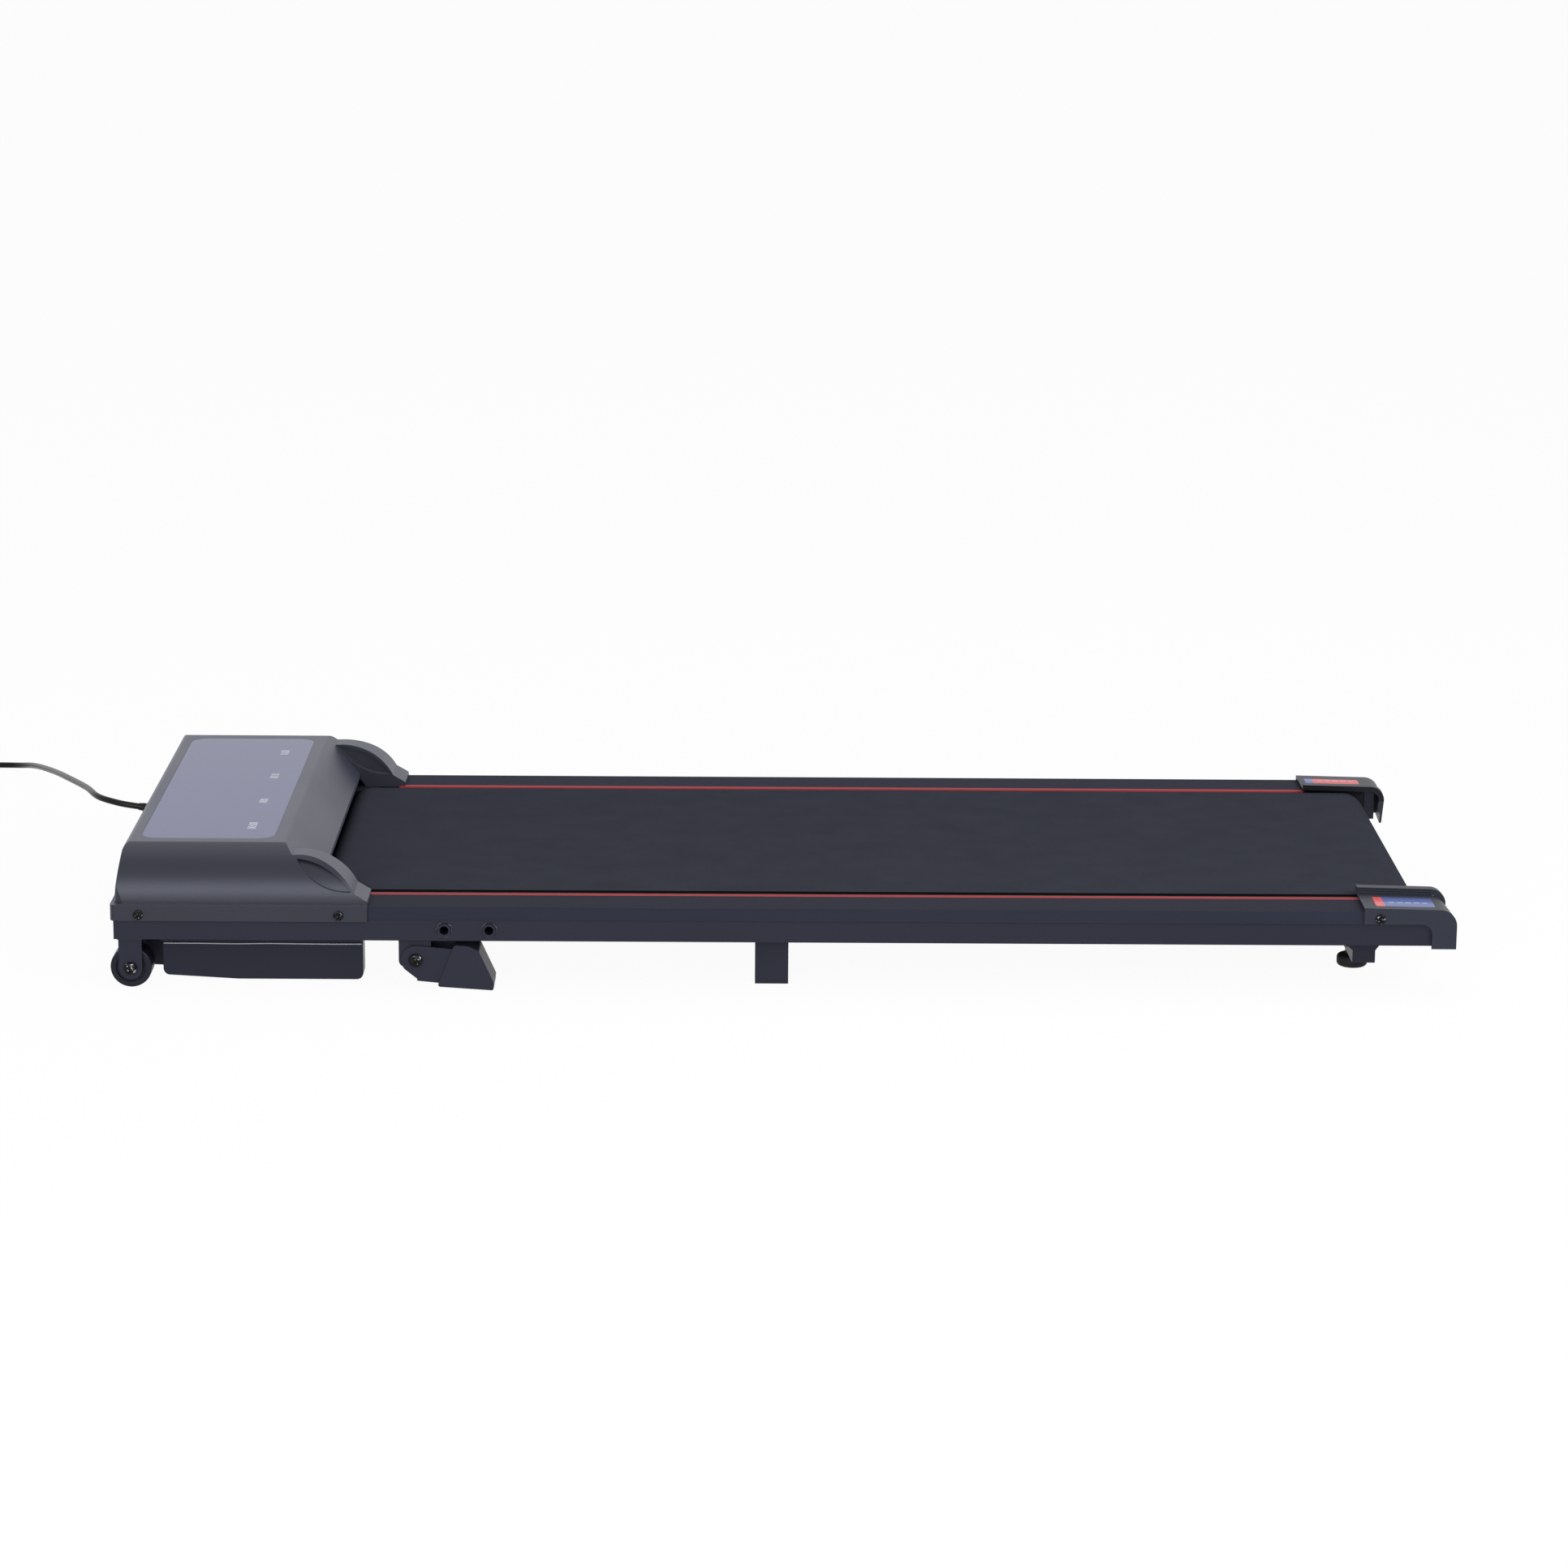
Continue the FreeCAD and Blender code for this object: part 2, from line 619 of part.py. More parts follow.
def foot_rail():
    """Left foot rail: a top strip with an outer lip, stepped down for the stripe along its inner edge."""
    top = box(RAIL_FRONT, TUBE_REAR, -RAIL_OUT, -RAIL_IN, TUBE_TOP, RAIL_TOP)
    lip = box(RAIL_FRONT, TUBE_REAR, -RAIL_OUT, -TUBE_OUT, RAIL_TOP - RAIL_LIP, TUBE_TOP)
    groove = box(RAIL_FRONT, TUBE_REAR, -RAIL_IN - STRIPE_W - SEAT_GAP, -RAIL_IN,
                 RAIL_TOP - STRIPE_GROOVE, RAIL_TOP)
    seat = cap_screw_seat()
    hole = rod_y(HOOD_SCREW_R + FACE_GAP, -RAIL_OUT, -TUBE_OUT, seat.x, seat.z)
    return top.fuse(lip).cut([groove, hole]).removeSplitter()


def red_stripe():
    """Left stripe, folded over the inner edge of the foot rail."""
    floor = RAIL_TOP - STRIPE_GROOVE
    top = floor + STRIPE_T
    edge = -RAIL_IN + SEAT_GAP
    strip = box(RAIL_FRONT, TUBE_REAR, -RAIL_IN - STRIPE_W, edge + STRIPE_EDGE, floor, top)
    fold = box(RAIL_FRONT, TUBE_REAR, edge, edge + STRIPE_EDGE, top - STRIPE_DROP, top)
    return strip.fuse(fold).removeSplitter()


def axle(x, reach):
    """Fixed shaft of a roller."""
    return rod_y(AXLE_R, -reach, reach, x, ROLLER_Z)


def front_axle():
    """Front roller's shaft, seated in the side tubes' inner walls."""
    return axle(FRONT_ROLLER_X, TUBE_IN + AXLE_IN_TUBE)


def rear_axle():
    """Rear roller's shaft, cross bored for the adjuster bolts."""
    shaft = axle(REAR_ROLLER_X, TUBE_GAUGE + AXLE_IN_TUBE)
    bores = [rod_x(ADJUSTER_R + RUN_FIT, REAR_ROLLER_X - AXLE_R, REAR_ROLLER_X + AXLE_R, side * TUBE_GAUGE,
                   ROLLER_Z) for side in BOTH_SIDES]
    return shaft.cut(bores)


def roller(x):
    """Roller sleeve, bored for its bearings."""
    sleeve = rod_y(ROLLER_R, -ROLLER_HALF, ROLLER_HALF, x, ROLLER_Z)
    return sleeve.cut(rod_y(BEARING_R + RUN_FIT, -ROLLER_HALF, ROLLER_HALF, x, ROLLER_Z))


def bearings(x):
    """Ball bearings in the two ends of a roller."""
    ring = rod_y(BEARING_R, -ROLLER_HALF, -ROLLER_HALF + BEARING_W, x, ROLLER_Z)
    ring = ring.cut(rod_y(AXLE_R + RUN_FIT, -ROLLER_HALF, -ROLLER_HALF + BEARING_W, x, ROLLER_Z))
    return both(ring)


def roller_pulley():
    """Driven pulley on the right end of the front roller."""
    ends = (PULLEY_Y, PULLEY_Y + PULLEY_W)
    disc = rod_y(ROLLER_PULLEY_R, *ends, FRONT_ROLLER_X, ROLLER_Z)
    return disc.cut(rod_y(AXLE_R + FACE_GAP, *ends, FRONT_ROLLER_X, ROLLER_Z))


def loop_outline(centre_a, radius_a, centre_b, radius_b, y):
    """Wire of a belt's line round two round things, as its two straight runs and two arcs."""
    along = centre_b - centre_a
    angle = math.atan2(along.z, along.x)
    swing = math.acos((radius_a - radius_b) / along.Length)

    def point(centre, radius, turn):
        return V(centre.x + radius * math.cos(turn), y, centre.z + radius * math.sin(turn))

    upper, lower = angle + swing, angle - swing
    a_up, a_low = point(centre_a, radius_a, upper), point(centre_a, radius_a, lower)
    b_up, b_low = point(centre_b, radius_b, upper), point(centre_b, radius_b, lower)
    edges = [
        Part.makeLine(a_up, b_up),
        Part.Arc(b_up, point(centre_b, radius_b, angle), b_low).toShape(),
        Part.makeLine(b_low, a_low),
        Part.Arc(a_low, point(centre_a, radius_a, angle + math.pi), a_up).toShape(),
    ]
    return Part.Wire(edges)


def belt_loop(centre_a, radius_a, centre_b, radius_b, thickness, y0, y1):
    """Endless belt round two round things."""
    outer = Part.Face(loop_outline(centre_a, radius_a + thickness, centre_b, radius_b + thickness, y0))
    inner = Part.Face(loop_outline(centre_a, radius_a, centre_b, radius_b, y0))
    return outer.cut(inner).extrude(V(0, y1 - y0, 0))


def running_belt():
    """Running belt round the two rollers."""
    front, rear = V(FRONT_ROLLER_X, 0, ROLLER_Z), V(REAR_ROLLER_X, 0, ROLLER_Z)
    return belt_loop(front, BELT_R, rear, BELT_R, BELT_T, -BELT_HALF, BELT_HALF)


def drive_belt():
    """Ribbed belt from the motor to the front roller."""
    motor, driven = V(MOTOR_X, 0, MOTOR_Z), V(FRONT_ROLLER_X, 0, ROLLER_Z)
    return belt_loop(motor, MOTOR_PULLEY_R + BELT_GAP, driven, ROLLER_PULLEY_R + BELT_GAP, DRIVE_BELT_T,
                     DRIVE_BELT_Y, DRIVE_BELT_Y + DRIVE_BELT_W)


def deck_screw(x, y, spare=0.0):
    """Countersunk deck screw, or with spare its clearance hole."""
    head = Part.makeCone(DECK_SCREW_R + spare, DECK_SCREW_HEAD_R + spare, DECK_SCREW_HEAD_R - DECK_SCREW_R,
                         V(x, y, DECK_TOP - DECK_SCREW_HEAD_R + DECK_SCREW_R))
    return head.fuse(rod_z(DECK_SCREW_R + spare, DECK_TOP - DECK_SCREW_LENGTH, DECK_TOP, x, y))


def running_deck():
    """Board under the belt's upper run."""
    half = RAIL_IN - STRIPE_EDGE - DECK_EDGE_GAP
    deck = box(FRONT_ROLLER_X + DECK_FRONT_GAP, REAR_ROLLER_X - DECK_REAR_GAP, -half, half,
               DECK_UNDER, DECK_TOP)
    return deck.cut([deck_screw(x, y, RUN_FIT) for x, y in cushion_places()])


def deck_cushions():
    """Rubber cushions between the cross tubes and the deck."""
    return [rod_z(CUSHION_R, CROSS_TOP, DECK_UNDER, x, y).cut(deck_screw(x, y, RUN_FIT))
            for x, y in cushion_places()]


def adjuster_bolt():
    """Left belt adjuster, turned with a hex key through the end cap."""
    seat = TUBE_REAR + END_PLATE
    tip = REAR_ROLLER_X - ADJUSTER_TAIL
    head = rod_x(ADJUSTER_HEAD_R, seat, seat + ADJUSTER_HEAD, -TUBE_GAUGE, ROLLER_Z)
    bolt = head.fuse(rod_x(ADJUSTER_R, tip, seat, -TUBE_GAUGE, ROLLER_Z))
    key_face = V(seat + ADJUSTER_HEAD, -TUBE_GAUGE, ROLLER_Z)
    corners = [key_face + V(0, ADJUSTER_KEY * math.cos(math.radians(60 * k)),
                            ADJUSTER_KEY * math.sin(math.radians(60 * k))) for k in range(6)]
    socket = Part.Face(corner_wire(corners, [0] * len(corners))).extrude(V(-ADJUSTER_HEAD / 2, 0, 0))
    return bolt.cut(socket)


def motor_can():
    """Motor's can, hollow round the rotor, with a bored wall at each end."""
    y0, y1 = MOTOR_SIDE - MOTOR_LENGTH, MOTOR_SIDE
    can = rod_y(MOTOR_R, y0, y1, MOTOR_X, MOTOR_Z)
    hollow = rod_y(MOTOR_R - MOTOR_WALL, y0 + MOTOR_WALL, y1 - MOTOR_WALL, MOTOR_X, MOTOR_Z)
    return can.cut([hollow, rod_y(SHAFT_R + RUN_FIT, y0, y1, MOTOR_X, MOTOR_Z)])


def motor_rotor():
    """Wound core on the motor's shaft."""
    middle = MOTOR_SIDE - MOTOR_LENGTH / 2
    ends = (middle - ROTOR_LENGTH / 2, middle + ROTOR_LENGTH / 2)
    core = rod_y(ROTOR_R, *ends, MOTOR_X, MOTOR_Z)
    return core.cut(rod_y(SHAFT_R + RUN_FIT, *ends, MOTOR_X, MOTOR_Z))


def fan_span():
    """Both faces of the fan on the motor's free end."""
    face = MOTOR_SIDE - MOTOR_LENGTH - FAN_GAP
    return face - FAN_W, face


def motor_shaft():
    """Shaft from the fan through the motor to its pulley."""
    return rod_y(SHAFT_R, fan_span()[0] - SHAFT_TAIL, PULLEY_Y + PULLEY_W, MOTOR_X, MOTOR_Z)


def motor_pulley():
    """Small pulley that drives the belt to the roller."""
    ends = (PULLEY_Y, PULLEY_Y + PULLEY_W)
    disc = rod_y(MOTOR_PULLEY_R, *ends, MOTOR_X, MOTOR_Z)
    return disc.cut(rod_y(SHAFT_R + RUN_FIT, *ends, MOTOR_X, MOTOR_Z))


def flywheel_fan():
    """Flywheel with cooling blades on the motor's free end."""
    y0, y1 = fan_span()
    disc = rod_y(FAN_R, y0, y0 + FAN_W / 2, MOTOR_X, MOTOR_Z)
    hub = rod_y(2 * SHAFT_R, y0, y1, MOTOR_X, MOTOR_Z)
    blade = box(MOTOR_X + SHAFT_R, MOTOR_X + FAN_R - MOTOR_WALL, y0, y1, MOTOR_Z, MOTOR_Z + TUBE_WALL)
    blades = []
    for count in range(FAN_BLADES):
        turned = blade.copy()
        turned.rotate(V(MOTOR_X, 0, MOTOR_Z), V(0, 1, 0), 360 * count / FAN_BLADES)
        blades.append(turned)
    return disc.fuse([hub] + blades).cut(rod_y(SHAFT_R + RUN_FIT, y0, y1, MOTOR_X, MOTOR_Z)).removeSplitter()


def clamp_half(y, z0, z1, keep_low):
    """Half of a motor clamp: a round strap with a tab on each motor tube."""
    y0, y1 = y - SADDLE_W / 2, y + SADDLE_W / 2
    inner = MOTOR_R + FACE_GAP
    front, rear = motor_tube_xs()
    reach = MOTOR_TUBE / 2
    tabs = box(front - reach, rear + reach, y0, y1, z0, z1)
    strap = rod_y(inner + SADDLE_T, y0, y1, MOTOR_X, MOTOR_Z)
    away = box(-FAR, FAR, y0, y1, z1, FAR) if keep_low else box(-FAR, FAR, y0, y1, -FAR, z0)
    half = tabs.fuse(strap.cut(away)).cut(rod_y(inner, y0, y1, MOTOR_X, MOTOR_Z))
    holes = [rod_z(MOTOR_BOLT_R + RUN_FIT, z0, z1, x, y) for x in (front, rear)]
    return half.cut(holes).removeSplitter()


def motor_saddles():
    """Lower halves of the motor's clamps, on the motor tubes."""
    low = MOTOR_TUBE_TOP
    return [clamp_half(y, low, low + SADDLE_T, True) for y in SADDLE_YS]


def motor_clamps():
    """Upper halves of the motor's clamps."""
    low = MOTOR_TUBE_TOP + SADDLE_T
    return [clamp_half(y, low, low + SADDLE_T, False) for y in SADDLE_YS]


def motor_bolts():
    """Bolts through the clamps into the motor tubes."""
    seat = MOTOR_TUBE_TOP + 2 * SADDLE_T
    return [rod_z(MOTOR_BOLT_HEAD_R, seat, seat + MOTOR_BOLT_HEAD, x, y).fuse(
        rod_z(MOTOR_BOLT_R, seat - MOTOR_BOLT_DEPTH, seat, x, y)) for x, y in motor_bolt_places()]


def motor_controller():
    """Motor controller's case on its plate, with a finned heatsink on top."""
    front, rear = motor_tube_xs()
    reach = MOTOR_TUBE / 2
    low = MOTOR_TUBE_TOP
    y0, y1 = CONTROLLER_SIDE - TUBE_IN, fan_span()[0] - SHAFT_TAIL - CONTROLLER_GAP
    plate = box(front - reach, rear + reach, y0, y1, low, low + CONTROLLER_PLATE)
    x0, x1 = front + CONTROLLER_X_INSET, rear - CONTROLLER_X_INSET
    top = low + CONTROLLER_PLATE + CONTROLLER_H
    case = box(x0, x1, y0, y1, low + CONTROLLER_PLATE, top)
    step = (x1 - x0 - HEATSINK_FIN_T) / (HEATSINK_FINS - 1)
    fins = [box(x0 + k * step, x0 + k * step + HEATSINK_FIN_T, y0, y1, top, top + HEATSINK_FIN_H)
            for k in range(HEATSINK_FINS)]
    return plate.fuse([case] + fins).removeSplitter()


def hood_section(inset, x0, x1):
    """Hood's full cross section along X: upright foot, rounded shoulders and a flat top."""
    side, top_half = TUBE_OUT - inset, HOOD_TOP_HALF
    step, top = FLANGE_TOP, HOOD_TOP - inset
    rise, run = top - step, side - top_half
    radius = (rise ** 2 + run ** 2) / (2 * run)
    centre = side - radius
    turn = math.atan2(rise, top_half - centre) / 2
    shoulder = (centre + radius * math.cos(turn), step + radius * math.sin(turn))

    def at(y, z):
        return V(x0, y, z)

    edges = [
        Part.Arc(at(side, step), at(*shoulder), at(top_half, top)).toShape(),
        Part.makeLine(at(top_half, top), at(-top_half, top)),
        Part.Arc(at(-top_half, top), at(-shoulder[0], shoulder[1]), at(-side, step)).toShape(),
        Part.makeLine(at(-side, step), at(-side, 0)),
        Part.makeLine(at(-side, 0), at(side, 0)),
        Part.makeLine(at(side, 0), at(side, step)),
    ]
    return Part.Face(Part.Wire(edges)).extrude(V(x1 - x0, 0, 0))


def hood_profile(inset, low):
    """Hood's side outline, drawn in by a wall, with its front and rear faces carried down to one level."""
    lean = HOOD_LEAN / (HOOD_TOP - FLANGE_TOP)
    rear_top = TUBE_FRONT + HOOD_TOP_REAR
    fall = (HOOD_MOUTH - rear_top) / (HOOD_TOP - HOOD_MOUTH_Z)
    front_shift = inset * math.hypot(1, lean)
    rear_shift = inset * math.hypot(1, fall)

    def front(z):
        return HOOD_FOOT + (z - FLANGE_TOP) * lean + front_shift

    def rear(z):
        return rear_top + (HOOD_TOP - z) * fall - rear_shift

    top = HOOD_TOP - inset
    return [(front(low), low), (rear(low), low), (rear(top), top), (front(top), top)]


def arm_outline(y, inset, low):
    """Side outline of a hood arm: an arched top that falls to a thin tab over the foot rail."""
    root_x = TUBE_FRONT + ARM_ROOT_X
    wire = arc_wire(V(root_x, y, ARM_ROOT_Z), V(TUBE_FRONT + ARM_CROWN_X, y, ARM_CROWN_Z),
                    V(TUBE_FRONT + ARM_TIP_X, y, ARM_TIP_Z),
                    V(ARM_END, y, ARM_END_Z), V(ARM_END, y, low), V(root_x - ARM_ROOT_X / 8, y, low),
                    V(root_x - ARM_ROOT_X / 8, y, ARM_ROOT_Z))
    return wire.makeOffset2D(-inset) if inset else wire


def arm_dish():
    """Lens-shaped dish in the side of an arm, under its arched rim."""
    root_x, tip_x = TUBE_FRONT + ARM_ROOT_X, TUBE_FRONT + ARM_TIP_X
    start = V(root_x + ARM_RIM, 0, ARM_ROOT_Z - ARM_RIM)
    end = V(tip_x - ARM_RIM, 0, ARM_TIP_Z + ARM_RIM / 2)
    crown = V(TUBE_FRONT + ARM_CROWN_X - ARM_RIM, 0, ARM_CROWN_Z - ARM_RIM)
    chord = end - start
    below = V(chord.z, 0, -chord.x).normalize() * ARM_DISH_SAG
    upper = Part.Arc(start, crown, end).toShape()
    lower = Part.Arc(end, (start + end) / 2 + below, start).toShape()
    return Part.Face(Part.Wire([upper, lower])).extrude(V(0, -FAR, 0))


def hood_arm():
    """Left arm, solid and hollow shapes: (outside, inside)."""
    outside = Part.Face(arm_outline(-ARM_IN, 0, TUBE_TOP)).extrude(V(0, ARM_IN - FLANGE_OUT, 0))
    outside = outside.common(hood_section(0, FLANGE_X, ARM_END))
    section = hood_section(ARM_WALL, FLANGE_X, ARM_END)
    inside = Part.Face(arm_outline(-ARM_IN - ARM_WALL, ARM_WALL, 0))
    inside = inside.extrude(V(0, ARM_IN + ARM_WALL - FLANGE_OUT, 0))
    dish = arm_dish()
    near = outside.common(hood_section(ARM_DISH, FLANGE_X, ARM_END))
    rim_cut = outside.cut(near).common(dish)
    inner_cut = dish.common(box(-FAR, FAR, -ARM_IN - ARM_DISH, -ARM_IN, 0, FAR))
    return outside.cut([rim_cut, inner_cut]), inside.common(section)


def lens_corners(spare):
    """Outline of the display's lens in plan."""
    return rectangle(LENS_X - spare, LENS_X + LENS_LENGTH + spare, -LENS_HALF - spare, LENS_HALF + spare)


def on_front_wall(shape, y, z):
    """Set a piece, made with the wall's outer face at X 0 and outside at -X, on the leaning front wall."""
    placed = shape.copy()
    placed.rotate(V(0, 0, 0), V(0, 1, 0), HOOD_LEAN_ANGLE)
    placed.translate(front_wall_point(y, z))
    return placed


def front_wall_point(y, z):
    """Point on the outer face of the hood's front wall."""
    return V(HOOD_FOOT + (z - FLANGE_TOP) * HOOD_LEAN / (HOOD_TOP - FLANGE_TOP), y, z)


def front_wall_normal():
    """Outward direction of the hood's front wall."""
    angle = math.radians(HOOD_LEAN_ANGLE)
    return V(-math.cos(angle), 0, math.sin(angle))


def motor_hood():
    """Moulded hood over the motor, with a skirt over the side tubes and an arm along each foot rail."""
    corners = (HOOD_CORNER, 0, 0, HOOD_CORNER)
    body = side_plate(hood_profile(0, FLANGE_TOP), (0, 0, HOOD_EDGE_R, HOOD_EDGE_R), -FLANGE_OUT, FLANGE_OUT)
    body = body.common(hood_section(0, FLANGE_X, HOOD_MOUTH))
    plan = rectangle(HOOD_FOOT, HOOD_MOUTH, -TUBE_OUT, TUBE_OUT)
    body = body.common(flat_plate(plan, corners, 0, HOOD_TOP))
    hollow = side_plate(hood_profile(HOOD_WALL, 0), (0,) * 4, -FLANGE_OUT, FLANGE_OUT)
    hollow = hollow.common(hood_section(HOOD_WALL, FLANGE_X, ARM_END))
    skirt = flat_plate(rectangle(FLANGE_X, ARM_END, -FLANGE_OUT, FLANGE_OUT),
                       (FLANGE_CORNER, 0, 0, FLANGE_CORNER), FLANGE_LOW, FLANGE_TOP)
    inner = FLANGE_OUT - FLANGE_WALL
    skirt_hollow = box(FLANGE_X + FLANGE_WALL, FAR, -inner, inner, 0, TUBE_TOP + FACE_GAP)
    rail_room = box(RAIL_FRONT - FACE_GAP, FAR, -inner, inner, 0, RAIL_TOP + FACE_GAP)
    mouth = box(HOOD_MOUTH, FAR, -ARM_IN, ARM_IN, 0, FAR)
    arm, arm_hollow = hood_arm()
    hood = body.fuse([skirt.cut(mouth)] + both(arm))
    cuts = [hollow, skirt_hollow, rail_room] + both(arm_hollow)
    for seat in hood_screw_seats():
        cuts += both(rod_y(HOOD_SCREW_R + FACE_GAP, -FLANGE_OUT, -inner, seat.x, seat.z))
    cuts.append(flat_plate(lens_corners(SEAT_GAP), (LENS_CORNER,) * 4, HOOD_TOP - LENS_T, HOOD_TOP))
    cuts.append(on_front_wall(rod_x(GLAND_R + RUN_FIT, -HOOD_WALL, 2 * HOOD_WALL, 0, 0), GLAND_Y, GLAND_Z))
    half_w, half_h = SWITCH_W / 2 + SEAT_GAP, SWITCH_H / 2 + SEAT_GAP
    cuts.append(on_front_wall(box(-HOOD_WALL, 2 * HOOD_WALL, -half_w, half_w, -half_h, half_h),
                              SWITCH_Y, SWITCH_Z))
    return hood.cut(cuts).removeSplitter()


def hood_screws():
    """Screws through the hood's skirt into the side tubes."""
    screws = []
    for seat in hood_screw_seats():
        screws += both(pan_screw(HOOD_SCREW_HEAD_R, HOOD_SCREW_HEAD, HOOD_SCREW_R, HOOD_SCREW_LENGTH, seat,
                                 V(0, 1, 0)))
    return screws


def display_lens():
    """Dark window let into the hood's top."""
    return flat_plate(lens_corners(0), (LENS_CORNER,) * 4, HOOD_TOP - LENS_T, HOOD_TOP - LENS_SINK)


def display_board():
    """Display's circuit board against the inside of the hood's top."""
    top = HOOD_TOP - HOOD_WALL
    half = LENS_HALF - BOARD_INSET_Y
    return box(LENS_X + BOARD_INSET_X, LENS_X + LENS_LENGTH - BOARD_INSET_X, -half, half, top - BOARD_T, top)


def tray_block(inset):
    """Tray's body as a solid, drawn in by a wall, with a rising floor and a recessed rear."""
    x0, x1 = TUBE_FRONT + TRAY_FRONT + inset, TUBE_FRONT + TRAY_REAR - inset
    nose = TUBE_FRONT + TRAY_NOSE + inset
    kink = TUBE_FRONT + TRAY_KINK
    low, front_low = TRAY_FLOOR + inset, TRAY_FLOOR_FRONT + inset
    top = FRAME_UNDER + (FAR if inset else 0)
    corner = TRAY_CORNER - inset

    def slab(front, half):
        profile = [(front, front_low), (kink, low), (x1, low), (x1, top), (front, top)]
        return side_plate(profile, (corner, 0, corner, 0, 0), -half, half)

    half = TRAY_RECESS_HALF + inset
    recess = box(TUBE_FRONT + TRAY_REAR - TRAY_RECESS - inset, FAR, -half, half, 0, FAR)
    return slab(x0, TRAY_HALF - inset).fuse(slab(nose, TRAY_NOSE_HALF - inset)).cut(recess)


def motor_tray():
    """Tray under the motor, hung from the side tubes by its flanges."""
    x0, x1 = TUBE_FRONT + TRAY_FRONT, TUBE_FRONT + TRAY_REAR
    flange_low = FRAME_UNDER - TRAY_FLANGE_T
    out = TRAY_HALF + TRAY_FLANGE
    flange = box(x0, x1, -out, out, flange_low, FRAME_UNDER)
    bead = TRAY_HALF + TRAY_BEAD
    ledge = box(x0, x1, -bead, bead, *TRAY_BEAD_Z)
    tray = tray_block(0).fuse([flange, ledge]).cut(tray_block(TRAY_WALL))
    mouth = TRAY_RECESS_HALF + TRAY_WALL
    mouth_x = x1 - TRAY_RECESS - 2 * TRAY_WALL
    bare = TRAY_RECESS_HALF
    cuts = [box(mouth_x, FAR, -mouth, mouth, TRAY_MOUTH_Z, FAR)]
    cuts.append(box(x1 - TRAY_RECESS, FAR, -bare, bare, 0, FAR))
    for seat in tray_screw_seats():
        cuts += both(rod_z(TRAY_SCREW_R + FACE_GAP, flange_low, FRAME_UNDER, seat.x, seat.y))
    return tray.cut(cuts).removeSplitter()


def tray_screws():
    """Screws through the tray's flanges into the side tubes."""
    screws = []
    for seat in tray_screw_seats():
        screws += both(pan_screw(TRAY_SCREW_HEAD_R, TRAY_SCREW_HEAD, TRAY_SCREW_R, TRAY_SCREW_LENGTH, seat,
                                 V(0, 0, 1)))
    return screws


def fork_faces():
    """Inner and outer faces of the left wheel fork's plates: two pairs of Y."""
    half = WHEEL_W / 2 + WHEEL_SIDE_GAP
    return ((-WHEEL_Y - half - FORK_T, -WHEEL_Y - half), (-WHEEL_Y + half, -WHEEL_Y + half + FORK_T))


def wheel_fork():
    """Left wheel's fork, welded under the side tube."""
    half = FORK_W / 2
    plates = fork_faces()
    shape = box(WHEEL_X - half, WHEEL_X + half, plates[0][0], plates[1][1], FRAME_UNDER - FORK_T, FRAME_UNDER)
    for y0, y1 in plates:
        shape = shape.fuse([box(WHEEL_X - half, WHEEL_X + half, y0, y1, WHEEL_R, FRAME_UNDER),
                            rod_y(half, y0, y1, WHEEL_X, WHEEL_R)])
        shape = shape.cut(rod_y(WHEEL_BOLT_R + RUN_FIT, y0, y1, WHEEL_X, WHEEL_R))
    return shape.removeSplitter()


def wheel():
    """Left transport wheel: a tyre with rounded edges on a dished hub."""
    y0, y1 = -WHEEL_Y - WHEEL_W / 2, -WHEEL_Y + WHEEL_W / 2
    disc = rod_y(WHEEL_R, y0, y1, WHEEL_X, WHEEL_R)
    rims = [edge for edge in disc.Edges if isinstance(edge.Curve, Part.Circle)]
    disc = disc.makeFillet(WHEEL_TYRE / 3, rims)
    hub = WHEEL_R - WHEEL_TYRE
    boss = WHEEL_BOLT_R + WHEEL_TYRE / 2
    for face, depth in ((y0, WHEEL_TYRE), (y1, -WHEEL_TYRE)):
        dish = rod_y(hub, face, face + depth / 2, WHEEL_X, WHEEL_R)
        disc = disc.cut(dish.cut(rod_y(boss, face, face + depth, WHEEL_X, WHEEL_R)))
    return disc.cut(rod_y(WHEEL_BOLT_R + RUN_FIT, y0, y1, WHEEL_X, WHEEL_R))


def wheel_bolt():
    """Left wheel's axle bolt, with its nut inside the fork."""
    (out, _), (_, back) = fork_faces()
    length = back + WHEEL_BOLT_HEAD - out
    seat = V(WHEEL_X, out, WHEEL_R)
    bolt = pan_screw(WHEEL_BOLT_HEAD_R, WHEEL_BOLT_HEAD, WHEEL_BOLT_R, length, seat, V(0, 1, 0))
    nut = rod_y(WHEEL_BOLT_HEAD_R, back, back + WHEEL_BOLT_HEAD, WHEEL_X, WHEEL_R)
    return bolt.fuse(nut).removeSplitter()


def pivot_bore(radius):
    """Round bar along the left incline foot's pivot."""
    reach = BOOT_OUTER + PIVOT_HEAD
    return rod_y(radius, -TUBE_GAUGE - reach, -TUBE_GAUGE + reach, PIVOT_X, PIVOT_Z)


def incline_bracket():
    """Left incline foot's bracket: two ears under a plate on the side tube."""
    x0, x1 = PIVOT_X - EAR_FRONT, PIVOT_X + EAR_REAR
    low = PIVOT_Z - EAR_DROP
    half = EAR_INNER + EAR_T
    points = rectangle(x0, x1, low, FRAME_UNDER)
    block = side_plate(points, (EAR_CORNER, EAR_CORNER, 0, 0), -TUBE_GAUGE - half, -TUBE_GAUGE + half)
    gap = box(-FAR, FAR, -TUBE_GAUGE - EAR_INNER, -TUBE_GAUGE + EAR_INNER, 0, FRAME_UNDER - EAR_T)
    return block.cut([gap, pivot_bore(PIVOT_R + RUN_FIT)])


